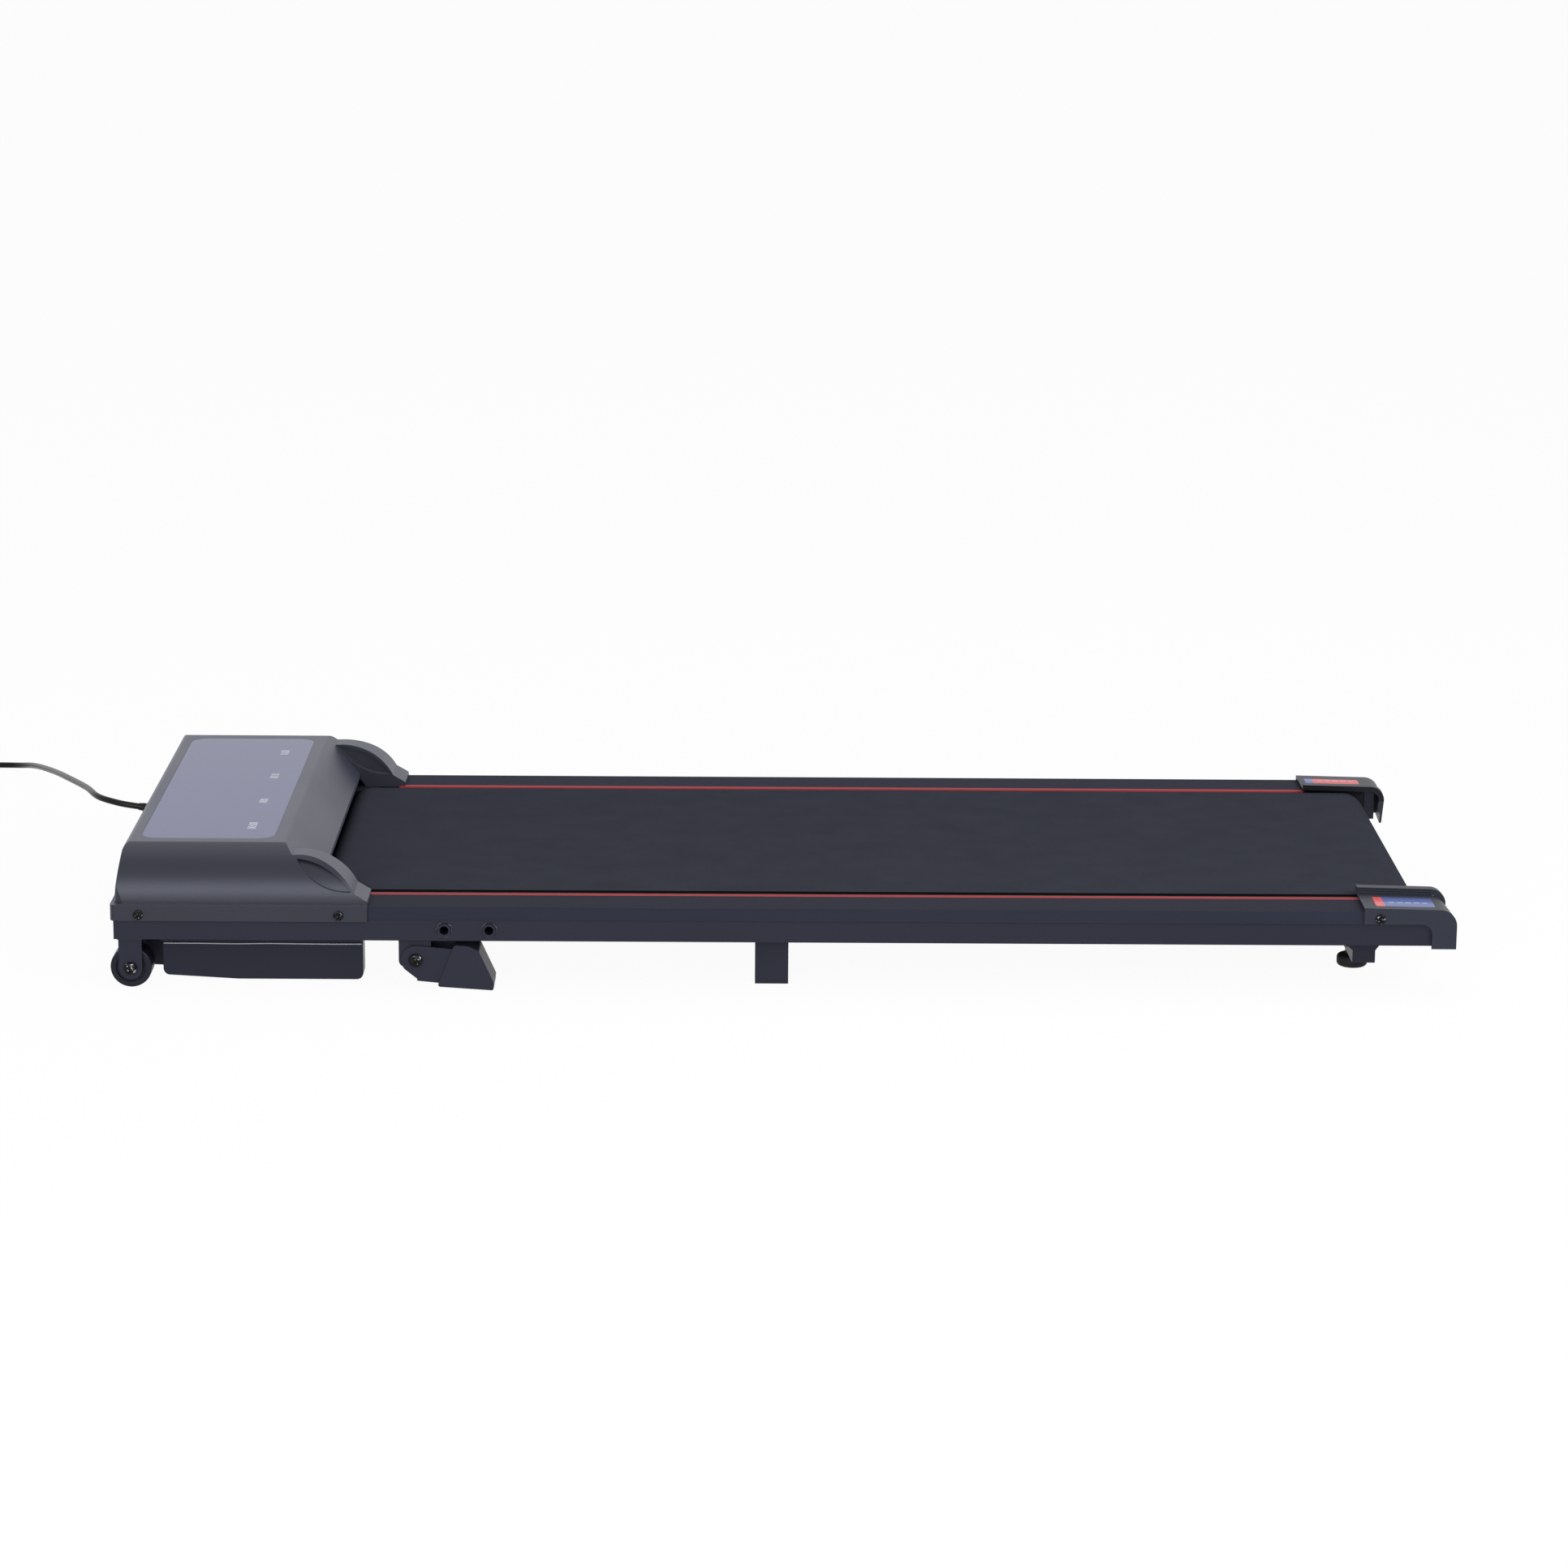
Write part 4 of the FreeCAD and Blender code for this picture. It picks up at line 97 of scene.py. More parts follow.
class Sheet:
    """Node tree of one material, with short ways to add and join nodes."""

    def __init__(self, name: str) -> None:
        """Start a material with one Principled shader.

        Args:
            name: Name of the finish.
        """
        self.material = bpy.data.materials.new(name)
        self.material.use_nodes = True
        self.tree = self.material.node_tree
        self.shader = self.tree.nodes["Principled BSDF"]

    def add(self, kind: str, **values: object) -> bpy.types.Node:
        """Add a node and set its inputs.

        Args:
            kind: Node type without its ShaderNode prefix.
            values: Input values, with underscores for spaces.

        Returns:
            The new node.
        """
        node = self.tree.nodes.new("ShaderNode" + kind)
        for key, value in values.items():
            node.inputs[key.replace("_", " ")].default_value = value
        return node

    def effect(self, effect: "Effect", fine: float, broad: float) -> bpy.types.Node:
        """Place a shared effect on the piece's own coordinates.

        Args:
            effect: Which effect.
            fine: Scale of its relief.
            broad: Scale of its slow variation.

        Returns:
            The group node.
        """
        node = self.tree.nodes.new("ShaderNodeGroup")
        node.node_tree = effect.tree()
        node.inputs["Fine"].default_value = fine
        node.inputs["Broad"].default_value = broad
        self.join(self.own_place(), node.inputs["Place"])
        return node

    def own_place(self) -> bpy.types.NodeSocket:
        """Socket of the piece's own coordinates."""
        return self.add("TexCoord").outputs["Object"]

    def join(self, start: bpy.types.NodeSocket, end: bpy.types.NodeSocket) -> None:
        """Link two sockets."""
        self.tree.links.new(start, end)

    def span(self, value: bpy.types.NodeSocket, low: float, high: float) -> bpy.types.NodeSocket:
        """Spread a value of 0 to 1 over another range.

        Args:
            value: Socket that gives the value.
            low: What 0 becomes.
            high: What 1 becomes.

        Returns:
            Socket of the spread value.
        """
        node = self.add("MapRange", To_Min=low, To_Max=high)
        self.join(value, node.inputs["Value"])
        return node.outputs["Result"]

    def blend(self, value: bpy.types.NodeSocket, low: bpy.types.NodeSocket | Colour,
              high: Colour) -> bpy.types.NodeSocket:
        """Blend two colours by a value of 0 to 1.

        Args:
            value: Socket that gives the share of the second colour.
            low: First colour, or its socket.
            high: Second colour.

        Returns:
            Socket of the blended colour.
        """
        node = self.tree.nodes.new("ShaderNodeMix")
        node.data_type = "RGBA"
        if isinstance(low, bpy.types.NodeSocket):
            self.join(low, node.inputs["A"])
        else:
            node.inputs["A"].default_value = (*low, 1.0)
        node.inputs["B"].default_value = (*high, 1.0)
        self.join(value, node.inputs["Factor"])
        return next(socket for socket in node.outputs if socket.type == "RGBA")

    def along_and_away(self) -> tuple[bpy.types.NodeSocket, bpy.types.NodeSocket]:
        """Place along the pad and beside it.

        Returns:
            Sockets of X and of the distance from the pad's middle line.
        """
        parts = self.add("SeparateXYZ")
        self.join(self.own_place(), parts.inputs["Vector"])
        return parts.outputs["X"], _maths(self.tree, "ABSOLUTE", parts.outputs["Y"], 0.0)

    def relief(self, height: bpy.types.NodeSocket, depth: float, rounding: float) -> None:
        """Give the shader a bumped normal whose hard edges are softened.

        Args:
            height: Socket of the relief's height, 0 to 1.
            depth: Real depth of the relief in metres.
            rounding: Radius that hard edges seem to have, in metres.
        """
        bump = self.add("Bump", Strength=1.0, Distance=depth)
        self.join(height, bump.inputs["Height"])
        if rounding:
            edge = self.add("Bevel", Radius=rounding)
            edge.samples = EDGE_SAMPLES
            self.join(edge.outputs["Normal"], bump.inputs["Normal"])
        self.join(bump.outputs["Normal"], self.shader.inputs["Normal"])


class Effect(Enum):
    """Surface effects that several finishes share."""

    GRAIN = "moulded_grain"
    PEEL = "powder_coat_peel"
    WEAVE = "belt_weave"
    TURNED = "turned_lines"

    def tree(self) -> bpy.types.NodeTree:
        """Node group of this effect, built on first use.

        Returns:
            The group's tree.
        """
        known = bpy.data.node_groups.get(self.value)
        if known:
            return known
        group = bpy.data.node_groups.new(self.value, "ShaderNodeTree")
        place = group.interface.new_socket("Place", in_out="INPUT", socket_type="NodeSocketVector")
        place.hide_value = True
        for name, way in (("Fine", "INPUT"), ("Broad", "INPUT"), ("Height", "OUTPUT"), ("Tone", "OUTPUT")):
            group.interface.new_socket(name, in_out=way, socket_type="NodeSocketFloat")
        makers = {Effect.GRAIN: _grain, Effect.PEEL: _peel, Effect.WEAVE: _weave, Effect.TURNED: _turned}
        enter = group.nodes.new("NodeGroupInput")
        leave = group.nodes.new("NodeGroupOutput")
        height = makers[self](group, enter)
        group.links.new(height, leave.inputs["Height"])
        tone = _noise(group, enter.outputs["Place"], enter.outputs["Broad"], TONE_DETAIL)
        group.links.new(tone, leave.inputs["Tone"])
        return group


def _noise(group: bpy.types.NodeTree, place: bpy.types.NodeSocket, scale: bpy.types.NodeSocket,
           detail: float) -> bpy.types.NodeSocket:
    """Noise in a group.

    Args:
        group: Group that gets the node.
        place: Socket of the coordinates.
        scale: Socket of the noise's scale.
        detail: Number of octaves.

    Returns:
        Socket of the noise, 0 to 1.
    """
    node = group.nodes.new("ShaderNodeTexNoise")
    node.inputs["Detail"].default_value = detail
    group.links.new(place, node.inputs["Vector"])
    group.links.new(scale, node.inputs["Scale"])
    return node.outputs["Fac"]


def _maths(group: bpy.types.NodeTree, operation: str, first: bpy.types.NodeSocket,
           second: bpy.types.NodeSocket | float) -> bpy.types.NodeSocket:
    """One sum in a group.

    Args:
        group: Group that gets the node.
        operation: Name of the sum.
        first: First socket.
        second: Second socket, or a number.

    Returns:
        Socket of the result.
    """
    node = group.nodes.new("ShaderNodeMath")
    node.operation = operation
    group.links.new(first, node.inputs[0])
    if isinstance(second, bpy.types.NodeSocket):
        group.links.new(second, node.inputs[1])
    else:
        node.inputs[1].default_value = second
    return node.outputs[0]


def _grain(group: bpy.types.NodeTree, enter: bpy.types.Node) -> bpy.types.NodeSocket:
    """Pebbled grain of a spark-eroded mould.

    Args:
        group: Group that gets the nodes.
        enter: The group's input node.

    Returns:
        Socket of the height.
    """
    cells = group.nodes.new("ShaderNodeTexVoronoi")
    cells.feature = "SMOOTH_F1"
    group.links.new(enter.outputs["Place"], cells.inputs["Vector"])
    group.links.new(enter.outputs["Fine"], cells.inputs["Scale"])
    rough = _noise(group, enter.outputs["Place"], enter.outputs["Fine"], GRAIN_DETAIL)
    return _maths(group, "ADD", cells.outputs["Distance"], rough)


def _peel(group: bpy.types.NodeTree, enter: bpy.types.Node) -> bpy.types.NodeSocket:
    """Slow waves of a powder coat with fine pores on them.

    Args:
        group: Group that gets the nodes.
        enter: The group's input node.

    Returns:
        Socket of the height.
    """
    waves = _noise(group, enter.outputs["Place"], enter.outputs["Fine"], WAVE_DETAIL)
    pores_scale = _maths(group, "MULTIPLY", enter.outputs["Fine"], PORE_SCALE)
    pores = _noise(group, enter.outputs["Place"], pores_scale, PORE_DETAIL)
    return _maths(group, "ADD", waves, _maths(group, "MULTIPLY", pores, PORE_DEPTH))


def _weave(group: bpy.types.NodeTree, enter: bpy.types.Node) -> bpy.types.NodeSocket:
    """Fine crossing threads pressed into a belt's face.

    Args:
        group: Group that gets the nodes.
        enter: The group's input node.

    Returns:
        Socket of the height.
    """
    threads = []
    for direction in ("X", "Y"):
        wave = group.nodes.new("ShaderNodeTexWave")
        wave.bands_direction = direction
        wave.inputs["Distortion"].default_value = THREAD_WOBBLE
        group.links.new(enter.outputs["Place"], wave.inputs["Vector"])
        group.links.new(enter.outputs["Fine"], wave.inputs["Scale"])
        threads.append(wave.outputs["Fac"])
    fuzz = _noise(group, enter.outputs["Place"], enter.outputs["Fine"], FUZZ_DETAIL)
    crossing = _maths(group, "MAXIMUM", threads[0], threads[1])
    return _maths(group, "ADD", crossing, fuzz)


def _turned(group: bpy.types.NodeTree, enter: bpy.types.Node) -> bpy.types.NodeSocket:
    """Rings that a lathe leaves along Y.

    Args:
        group: Group that gets the nodes.
        enter: The group's input node.

    Returns:
        Socket of the height.
    """
    wave = group.nodes.new("ShaderNodeTexWave")
    wave.bands_direction = "Y"
    wave.inputs["Distortion"].default_value = RING_WOBBLE
    group.links.new(enter.outputs["Place"], wave.inputs["Vector"])
    group.links.new(enter.outputs["Fine"], wave.inputs["Scale"])
    return wave.outputs["Fac"]


@dataclass(frozen=True)
class Finish:
    """One surface finish, from a shared effect and the shader's own values."""

    name: str
    colour: Colour
    roughness: float
    effect: Effect = Effect.GRAIN
    fine: float = 1500.0
    broad: float = 9.0
    depth: float = 0.03 * MM
    spread: float = 0.12
    roughness_spread: float = 0.05
    rounding: float = 0.4 * MM
    metallic: float = 0.0
    specular: float = 0.5
    tint: Colour = WHITE
    sheen: float = 0.0
    sheen_tint: Colour = WHITE

    def material(self) -> bpy.types.Material:
        """Material of this finish, built on first use.

        Returns:
            The material.
        """
        known = bpy.data.materials.get(self.name)
        if known:
            return known
        sheet = Sheet(self.name)
        surface = sheet.effect(self.effect, self.fine, self.broad)
        tone = surface.outputs["Tone"]
        sheet.join(self.colouring(sheet, tone), sheet.shader.inputs["Base Color"])
        rough = sheet.span(tone, self.roughness - self.roughness_spread,
                           self.roughness + self.roughness_spread)
        sheet.join(rough, sheet.shader.inputs["Roughness"])
        sheet.relief(surface.outputs["Height"], self.depth, self.rounding)
        plain = {"Metallic": self.metallic, "IOR": IOR, "Specular IOR Level": self.specular,
                 "Specular Tint": (*self.tint, 1.0), "Sheen Weight": self.sheen,
                 "Sheen Tint": (*self.sheen_tint, 1.0)}
        for socket, value in plain.items():
            sheet.shader.inputs[socket].default_value = value
        return sheet.material

    def colouring(self, sheet: Sheet, tone: bpy.types.NodeSocket) -> bpy.types.NodeSocket:
        """Colour over the surface: the finish's own, a little darker and lighter in patches.

        Args:
            sheet: Sheet that gets the nodes.
            tone: Socket of the slow variation.

        Returns:
            Socket of the colour.
        """
        dark = tuple(part * (1 - self.spread) for part in self.colour)
        light = tuple(part * (1 + self.spread) for part in self.colour)
        return sheet.blend(tone, dark, light)


class Across(Enum):
    """Which way along Y a zone of a finish lies, seen from its limit."""

    INSIDE = "LESS_THAN"
    OUTSIDE = "GREATER_THAN"


@dataclass(frozen=True)
class ZonedFinish(Finish):
    """Finish with a second colour, and metal or not, in a zone by its place in Y and X.

    The first values of limit and rear lie outside the pad.
    """

    zone: Across = Across.OUTSIDE
    limit: float = 1.0
    rear: float = -1.0
    # Near black unless set; the belt's zone uses it as painted shade in the gap beside the rails.
    zone_colour: Colour = (0.005, 0.005, 0.006)
    zone_metallic: float = 0.0

    def colouring(self, sheet: Sheet, tone: bpy.types.NodeSocket) -> bpy.types.NodeSocket:
        """Colour of the zone over the finish's own colour.

        Args:
            sheet: Sheet that gets the nodes.
            tone: Socket of the slow variation.

        Returns:
            Socket of the colour.
        """
        mask = self.mask(sheet)
        if self.zone_metallic:
            sheet.join(sheet.span(mask, self.metallic, self.zone_metallic), sheet.shader.inputs["Metallic"])
        return sheet.blend(mask, super().colouring(sheet, tone), self.zone_colour)

    def mask(self, sheet: Sheet) -> bpy.types.NodeSocket:
        """Mask of the zone.

        Args:
            sheet: Sheet that gets the nodes.

        Returns:
            Socket that is 1 in the zone and 0 elsewhere.
        """
        along, away = sheet.along_and_away()
        beside = _maths(sheet.tree, self.zone.value, away, self.limit)
        behind = _maths(sheet.tree, "GREATER_THAN", along, self.rear)
        return _maths(sheet.tree, "MULTIPLY", beside, behind)


@dataclass(frozen=True)
class GlintSpotFinish(ZonedFinish):
    """Black plating with small spots of bright metal: painted glints on the heads."""

    spot_scale: float = 420.0
    spot_level: float = 0.6
    spot_edge: float = 0.04

    def mask(self, sheet: Sheet) -> bpy.types.NodeSocket:
        """Mask of the spots painted as glints.

        Args:
            sheet: Sheet that gets the nodes.

        Returns:
            Socket that is 1 in a spot and 0 elsewhere.
        """
        spots = sheet.add("TexNoise", Scale=self.spot_scale, Detail=SPOT_DETAIL)
        sheet.join(sheet.own_place(), spots.inputs["Vector"])
        edge = sheet.add("MapRange", From_Min=self.spot_level,
                         From_Max=self.spot_level + self.spot_edge)
        sheet.join(spots.outputs["Fac"], edge.inputs["Value"])
        return edge.outputs["Result"]


@dataclass(frozen=True)
class LabelFilm(Finish):
    """Printed film with a block of a second colour at its front end and a paler outer half."""

    end_colour: Colour = WHITE
    end_x: float = 0.0
    pale_y: float = 0.231
    paleness: float = 0.0

    def colouring(self, sheet: Sheet, tone: bpy.types.NodeSocket) -> bpy.types.NodeSocket:
        """Colour by place on the cap.

        Args:
            sheet: Sheet that gets the nodes.
            tone: Socket of the slow variation, which this film doesn't use.

        Returns:
            Socket of the colour.
        """
        along, away = sheet.along_and_away()
        ahead = _maths(sheet.tree, "LESS_THAN", along, self.end_x)
        outer = _maths(sheet.tree, "GREATER_THAN", away, self.pale_y)
        blocks = sheet.blend(ahead, self.colour, self.end_colour)
        return sheet.blend(sheet.span(outer, 0.0, self.paleness), blocks, WHITE)


COOL: Colour = (0.80, 0.83, 1.0)
CAP_SHADE: Colour = (0.002, 0.002, 0.003)
POWDER_COAT = ZonedFinish("powder_coat", (0.0115, 0.0120, 0.0205), 0.42, Effect.PEEL, fine=700.0,
                          depth=0.02 * MM, rounding=0.6 * MM, specular=0.22, tint=COOL, zone=Across.INSIDE,
                          limit=0.2305, rear=0.552, zone_colour=CAP_SHADE)
WELD_COAT = Finish("weld_coat", (0.013, 0.014, 0.022), 0.3, Effect.PEEL, fine=700.0, depth=0.02 * MM,
                   rounding=0.0, specular=0.45, tint=COOL)
RAIL_COAT = ZonedFinish("rail_coat", (0.0225, 0.0235, 0.0365), 0.6, Effect.PEEL, fine=700.0, depth=0.02 * MM,
                        rounding=0.5 * MM, specular=0.02, tint=COOL, zone=Across.INSIDE, rear=0.53,
                        zone_colour=CAP_SHADE)
HOOD_ABS = Finish("hood_abs", (0.012, 0.0125, 0.0175), 0.40, fine=1600.0, depth=0.035 * MM, rounding=0.8 * MM,
                  specular=0.38, tint=COOL, sheen=0.11, sheen_tint=(0.62, 0.67, 1.0))
CAP_ABS = ZonedFinish("cap_abs", (0.016, 0.0175, 0.026), 0.42, fine=1600.0, depth=0.03 * MM,
                      rounding=0.6 * MM, specular=0.25, tint=COOL, zone=Across.INSIDE, limit=0.1925,
                      zone_colour=CAP_SHADE)
TRAY_PLASTIC = Finish("tray_moulding", (0.011, 0.0115, 0.019), 0.34, fine=1200.0, depth=0.015 * MM,
                      rounding=0.8 * MM, specular=0.2, tint=COOL)
BOOT_PLASTIC = Finish("boot_moulding", (0.014, 0.0145, 0.024), 0.40, fine=1200.0, rounding=0.8 * MM,
                      specular=0.2, tint=COOL)
WHEEL_PLASTIC = Finish("wheel_moulding", (0.007, 0.0075, 0.011), 0.38, fine=1500.0, rounding=0.5 * MM,
                       specular=0.2, tint=COOL)
LENS_GLOSS = Finish("lens_gloss", (0.034, 0.039, 0.15), 0.16, fine=300.0, depth=0.0005 * MM, spread=0.05,
                    roughness_spread=0.01, rounding=0.2 * MM, specular=0.45, tint=(0.66, 0.70, 1.0))
# Its zone paints the belt's edge faces near black: painted shade of the gap between the belt and the rails.
BELT_RUBBER = ZonedFinish("belt_pvc", (0.0425, 0.0445, 0.059), 0.9, Effect.WEAVE, fine=420.0, depth=0.12 * MM,
                          broad=30.0, rounding=0.3 * MM, specular=0.0, limit=0.1947)
RED_LINE = ZonedFinish("red_edging", (0.28, 0.031, 0.037), 0.55, fine=900.0, depth=0.01 * MM, rounding=0.0,
                       specular=0.1, zone=Across.INSIDE, rear=0.519, zone_colour=CAP_SHADE)
# Its bright metal spots are painted glints on the screw heads.
BLACK_SCREW = GlintSpotFinish("black_screw", (0.004, 0.004, 0.005), 0.22, Effect.PEEL, depth=0.006 * MM,
                         rounding=0.4 * MM, specular=0.12, zone_colour=(0.32, 0.32, 0.34), zone_metallic=1.0,
                         spot_level=0.615)
# Pale grey that paints the highlight line along the tray's rims.
RIM_PAINTED_HIGHLIGHT = Finish("rim_painted_highlight", (0.30, 0.31, 0.35), 0.18, depth=0.004 * MM, rounding=0.0,
                   roughness_spread=0.03)
TURNED_STEEL = Finish("turned_steel", (0.52, 0.53, 0.55), 0.32, Effect.TURNED, fine=900.0, metallic=1.0,
                      depth=0.01 * MM)
MOTOR_PAINT = Finish("motor_enamel", (0.012, 0.012, 0.014), 0.3, Effect.PEEL, fine=500.0)
CORE_IRON = Finish("rotor_iron", (0.16, 0.15, 0.15), 0.6, Effect.TURNED, fine=600.0, metallic=0.8)
PULLEY_METAL = Finish("cast_pulley", (0.6, 0.61, 0.63), 0.35, Effect.TURNED, fine=500.0, metallic=1.0)
SOFT_RUBBER = Finish("black_rubber", (0.010, 0.010, 0.012), 0.65, fine=1200.0, rounding=0.6 * MM,
                     specular=0.2)
DECK_BOARD = Finish("deck_board", (0.012, 0.012, 0.014), 0.55, Effect.WEAVE, fine=180.0, broad=60.0,
                    spread=0.3, specular=0.15)
CASE_METAL = Finish("zinc_case", (0.5, 0.51, 0.53), 0.45, Effect.PEEL, fine=800.0, metallic=1.0)
BOARD_MASK = Finish("board_mask", (0.015, 0.10, 0.04), 0.35, Effect.PEEL, fine=900.0)
SWITCH_GLOSS = Finish("switch_gloss", (0.012, 0.012, 0.014), 0.22, depth=0.004 * MM, rounding=0.3 * MM,
                      specular=0.35)
LEAD_SHEATH = Finish("lead_sheath", (0.005, 0.005, 0.006), 0.34, Effect.PEEL, fine=900.0, depth=0.02 * MM,
                     specular=0.16)
PLUG_PLASTIC = ZonedFinish("plug_moulding", (0.011, 0.011, 0.013), 0.42, fine=1500.0, rounding=0.8 * MM,
                           specular=0.3, zone=Across.INSIDE, limit=0.4944, zone_colour=(0.66, 0.64, 0.6),
                           zone_metallic=1.0)
GLAND_PLASTIC = Finish("gland_moulding", (0.009, 0.009, 0.011), 0.45, fine=1500.0, specular=0.2)
TIE_CLOTH = Finish("tie_cloth", (0.018, 0.018, 0.02), 0.9, Effect.WEAVE, fine=500.0, depth=0.2 * MM,
                   sheen=0.3)
MARK_INK = Finish("mark_ink", (0.62, 0.63, 0.68), 0.5, depth=0.002 * MM, rounding=0.0)
BLUE_LABEL = LabelFilm("blue_label", (0.020, 0.058, 0.27), 0.3, depth=0.003 * MM, rounding=0.0, specular=0.2,
                       end_colour=(0.62, 0.04, 0.05), end_x=0.537, paleness=0.1)
RED_LABEL = LabelFilm("red_label", (0.62, 0.04, 0.05), 0.3, depth=0.003 * MM, rounding=0.0, specular=0.25,
                      end_colour=(0.06, 0.10, 0.36), end_x=0.5315, paleness=0.08)

SLOT_FINISHES: dict[str, Finish] = {
    "frame_paint": POWDER_COAT, "rail_paint": RAIL_COAT, "red_line": RED_LINE, "cap_plastic": CAP_ABS,
    "hood_plastic": HOOD_ABS, "lens_plastic": LENS_GLOSS, "board_green": BOARD_MASK,
    "tray_plastic": TRAY_PLASTIC, "dark_screw": BLACK_SCREW, "bright_steel": TURNED_STEEL,
    "motor_paint": MOTOR_PAINT, "core_iron": CORE_IRON, "pulley_metal": PULLEY_METAL,
    "drive_rubber": SOFT_RUBBER, "belt_rubber": BELT_RUBBER, "deck_wood": DECK_BOARD,
    "soft_rubber": SOFT_RUBBER, "case_metal": CASE_METAL, "switch_plastic": SWITCH_GLOSS,
    "cord_rubber": LEAD_SHEATH, "plug_plastic": PLUG_PLASTIC, "tie_fabric": TIE_CLOTH,
    "wheel_plastic": WHEEL_PLASTIC, "boot_plastic": BOOT_PLASTIC,
}


class Bench:
    """Short ways to model with operators."""

    @staticmethod
    def clear() -> None:
        """Deselect everything."""
        bpy.ops.object.select_all(action="DESELECT")

    @staticmethod
    def only(piece: bpy.types.Object) -> None:
        """Select one piece and make it active.

        Args:
            piece: The piece.
        """
        Bench.clear()
        piece.select_set(True)
        bpy.context.view_layer.objects.active = piece

    @staticmethod
    def settle(piece: bpy.types.Object) -> None:
        """Put a piece's place, turn and size into its mesh."""
        Bench.only(piece)
        bpy.ops.object.transform_apply(location=True, rotation=True, scale=True)

    @staticmethod
    def apply_modifiers(piece: bpy.types.Object) -> None:
        """Apply all of a piece's modifiers in order.

        Args:
            piece: The piece.
        """
        Bench.only(piece)
        for modifier in list(piece.modifiers):
            bpy.ops.object.modifier_apply(modifier=modifier.name)

    @staticmethod
    def unpick(kind: str) -> None:
        """Leave nothing selected in the active mesh.

        Args:
            kind: What is selected next, VERT or EDGE.
        """
        bpy.ops.object.mode_set(mode="EDIT")
        bpy.ops.mesh.select_mode(type=kind)
        bpy.ops.mesh.select_all(action="DESELECT")
        bpy.ops.object.mode_set(mode="OBJECT")

    @staticmethod
    def tube(name: str, points: Sequence[Point], radius: float, facets: int, steps: int) -> bpy.types.Object:
        """Lay a round tube along a smooth open spline.

        Args:
            name: Name of the tube.
            points: Control points in millimetres.
            radius: Radius in metres.
            facets: How finely its section is rounded.
            steps: How finely each stretch between two points is divided.

        Returns:
            The tube, as a curve.
        """
        curve = bpy.data.curves.new(name, "CURVE")
        curve.dimensions = "3D"
        curve.bevel_depth = radius
        curve.bevel_resolution = facets
        curve.resolution_u = steps
        curve.use_fill_caps = True
        spline = curve.splines.new("NURBS")
        spline.points.add(len(points) - 1)
        for knot, place in zip(spline.points, points):
            knot.co = (*(part * MM for part in place), 1.0)
        spline.order_u = SPLINE_ORDER
        spline.use_endpoint_u = True
        tube = bpy.data.objects.new(name, curve)
        bpy.context.scene.collection.objects.link(tube)
        return tube

    @staticmethod
    def print_mark(words: str, height: float, relief: float, place: Matrix) -> bpy.types.Object:
        """Print numerals or a letter as thin raised ink.

        Args:
            words: What is printed.
            height: Size of the characters.
            relief: Thickness of the ink to each side.
            place: Where the mark's middle goes, and its turn.

        Returns:
            The mark.
        """
        Bench.clear()
        bpy.ops.object.text_add()
        mark = bpy.context.active_object
        mark.data.body = words
        mark.data.align_x = "CENTER"
        mark.data.align_y = "CENTER"
        mark.data.size = height
        mark.data.extrude = relief
        Bench.only(mark)
        bpy.ops.object.convert(target="MESH")
        mark.matrix_world = place
        Bench.settle(mark)
        return mark

    @staticmethod
    def join(pieces: Sequence[bpy.types.Object], name: str) -> bpy.types.Object:
        """Join meshes into one piece.

        Args:
            pieces: Meshes to join.
            name: Name of the result.

        Returns:
            The joined piece.
        """
        Bench.clear()
        for piece in pieces:
            piece.select_set(True)
        bpy.context.view_layer.objects.active = pieces[0]
        if len(pieces) > 1:
            bpy.ops.object.join()
        pieces[0].name = name
        return pieces[0]

    @staticmethod
    def dress(piece: bpy.types.Object, finish: Finish, body: Body, slot: str) -> bpy.types.Object:
        """Give a new piece its finish and the body that it rides on.

        Args:
            piece: The piece.
            finish: Its finish.
            body: Body that carries it.
            slot: Record's material slot; not used.

        Returns:
            The same piece.
        """
        piece.data.materials.clear()
        piece.data.materials.append(finish.material())
        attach(piece, body.value)
        LOG.info("piece %s", piece.name)
        return piece


@dataclass
class Frame:
    """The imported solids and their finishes."""

    nodes: dict[str, bpy.types.Object]
    record: dict

    def dress(self) -> None:
        """Give every solid the finish of its record slot."""
        for entry in self.record["subparts"]:
            node = self.nodes[entry["node"]]
            material = SLOT_FINISHES[entry["material_slot"]].material()
            if not node.material_slots:
                node.data.materials.append(material)
            for slot in node.material_slots:
                slot.material = material
            LOG.info("solid %s", node.name)


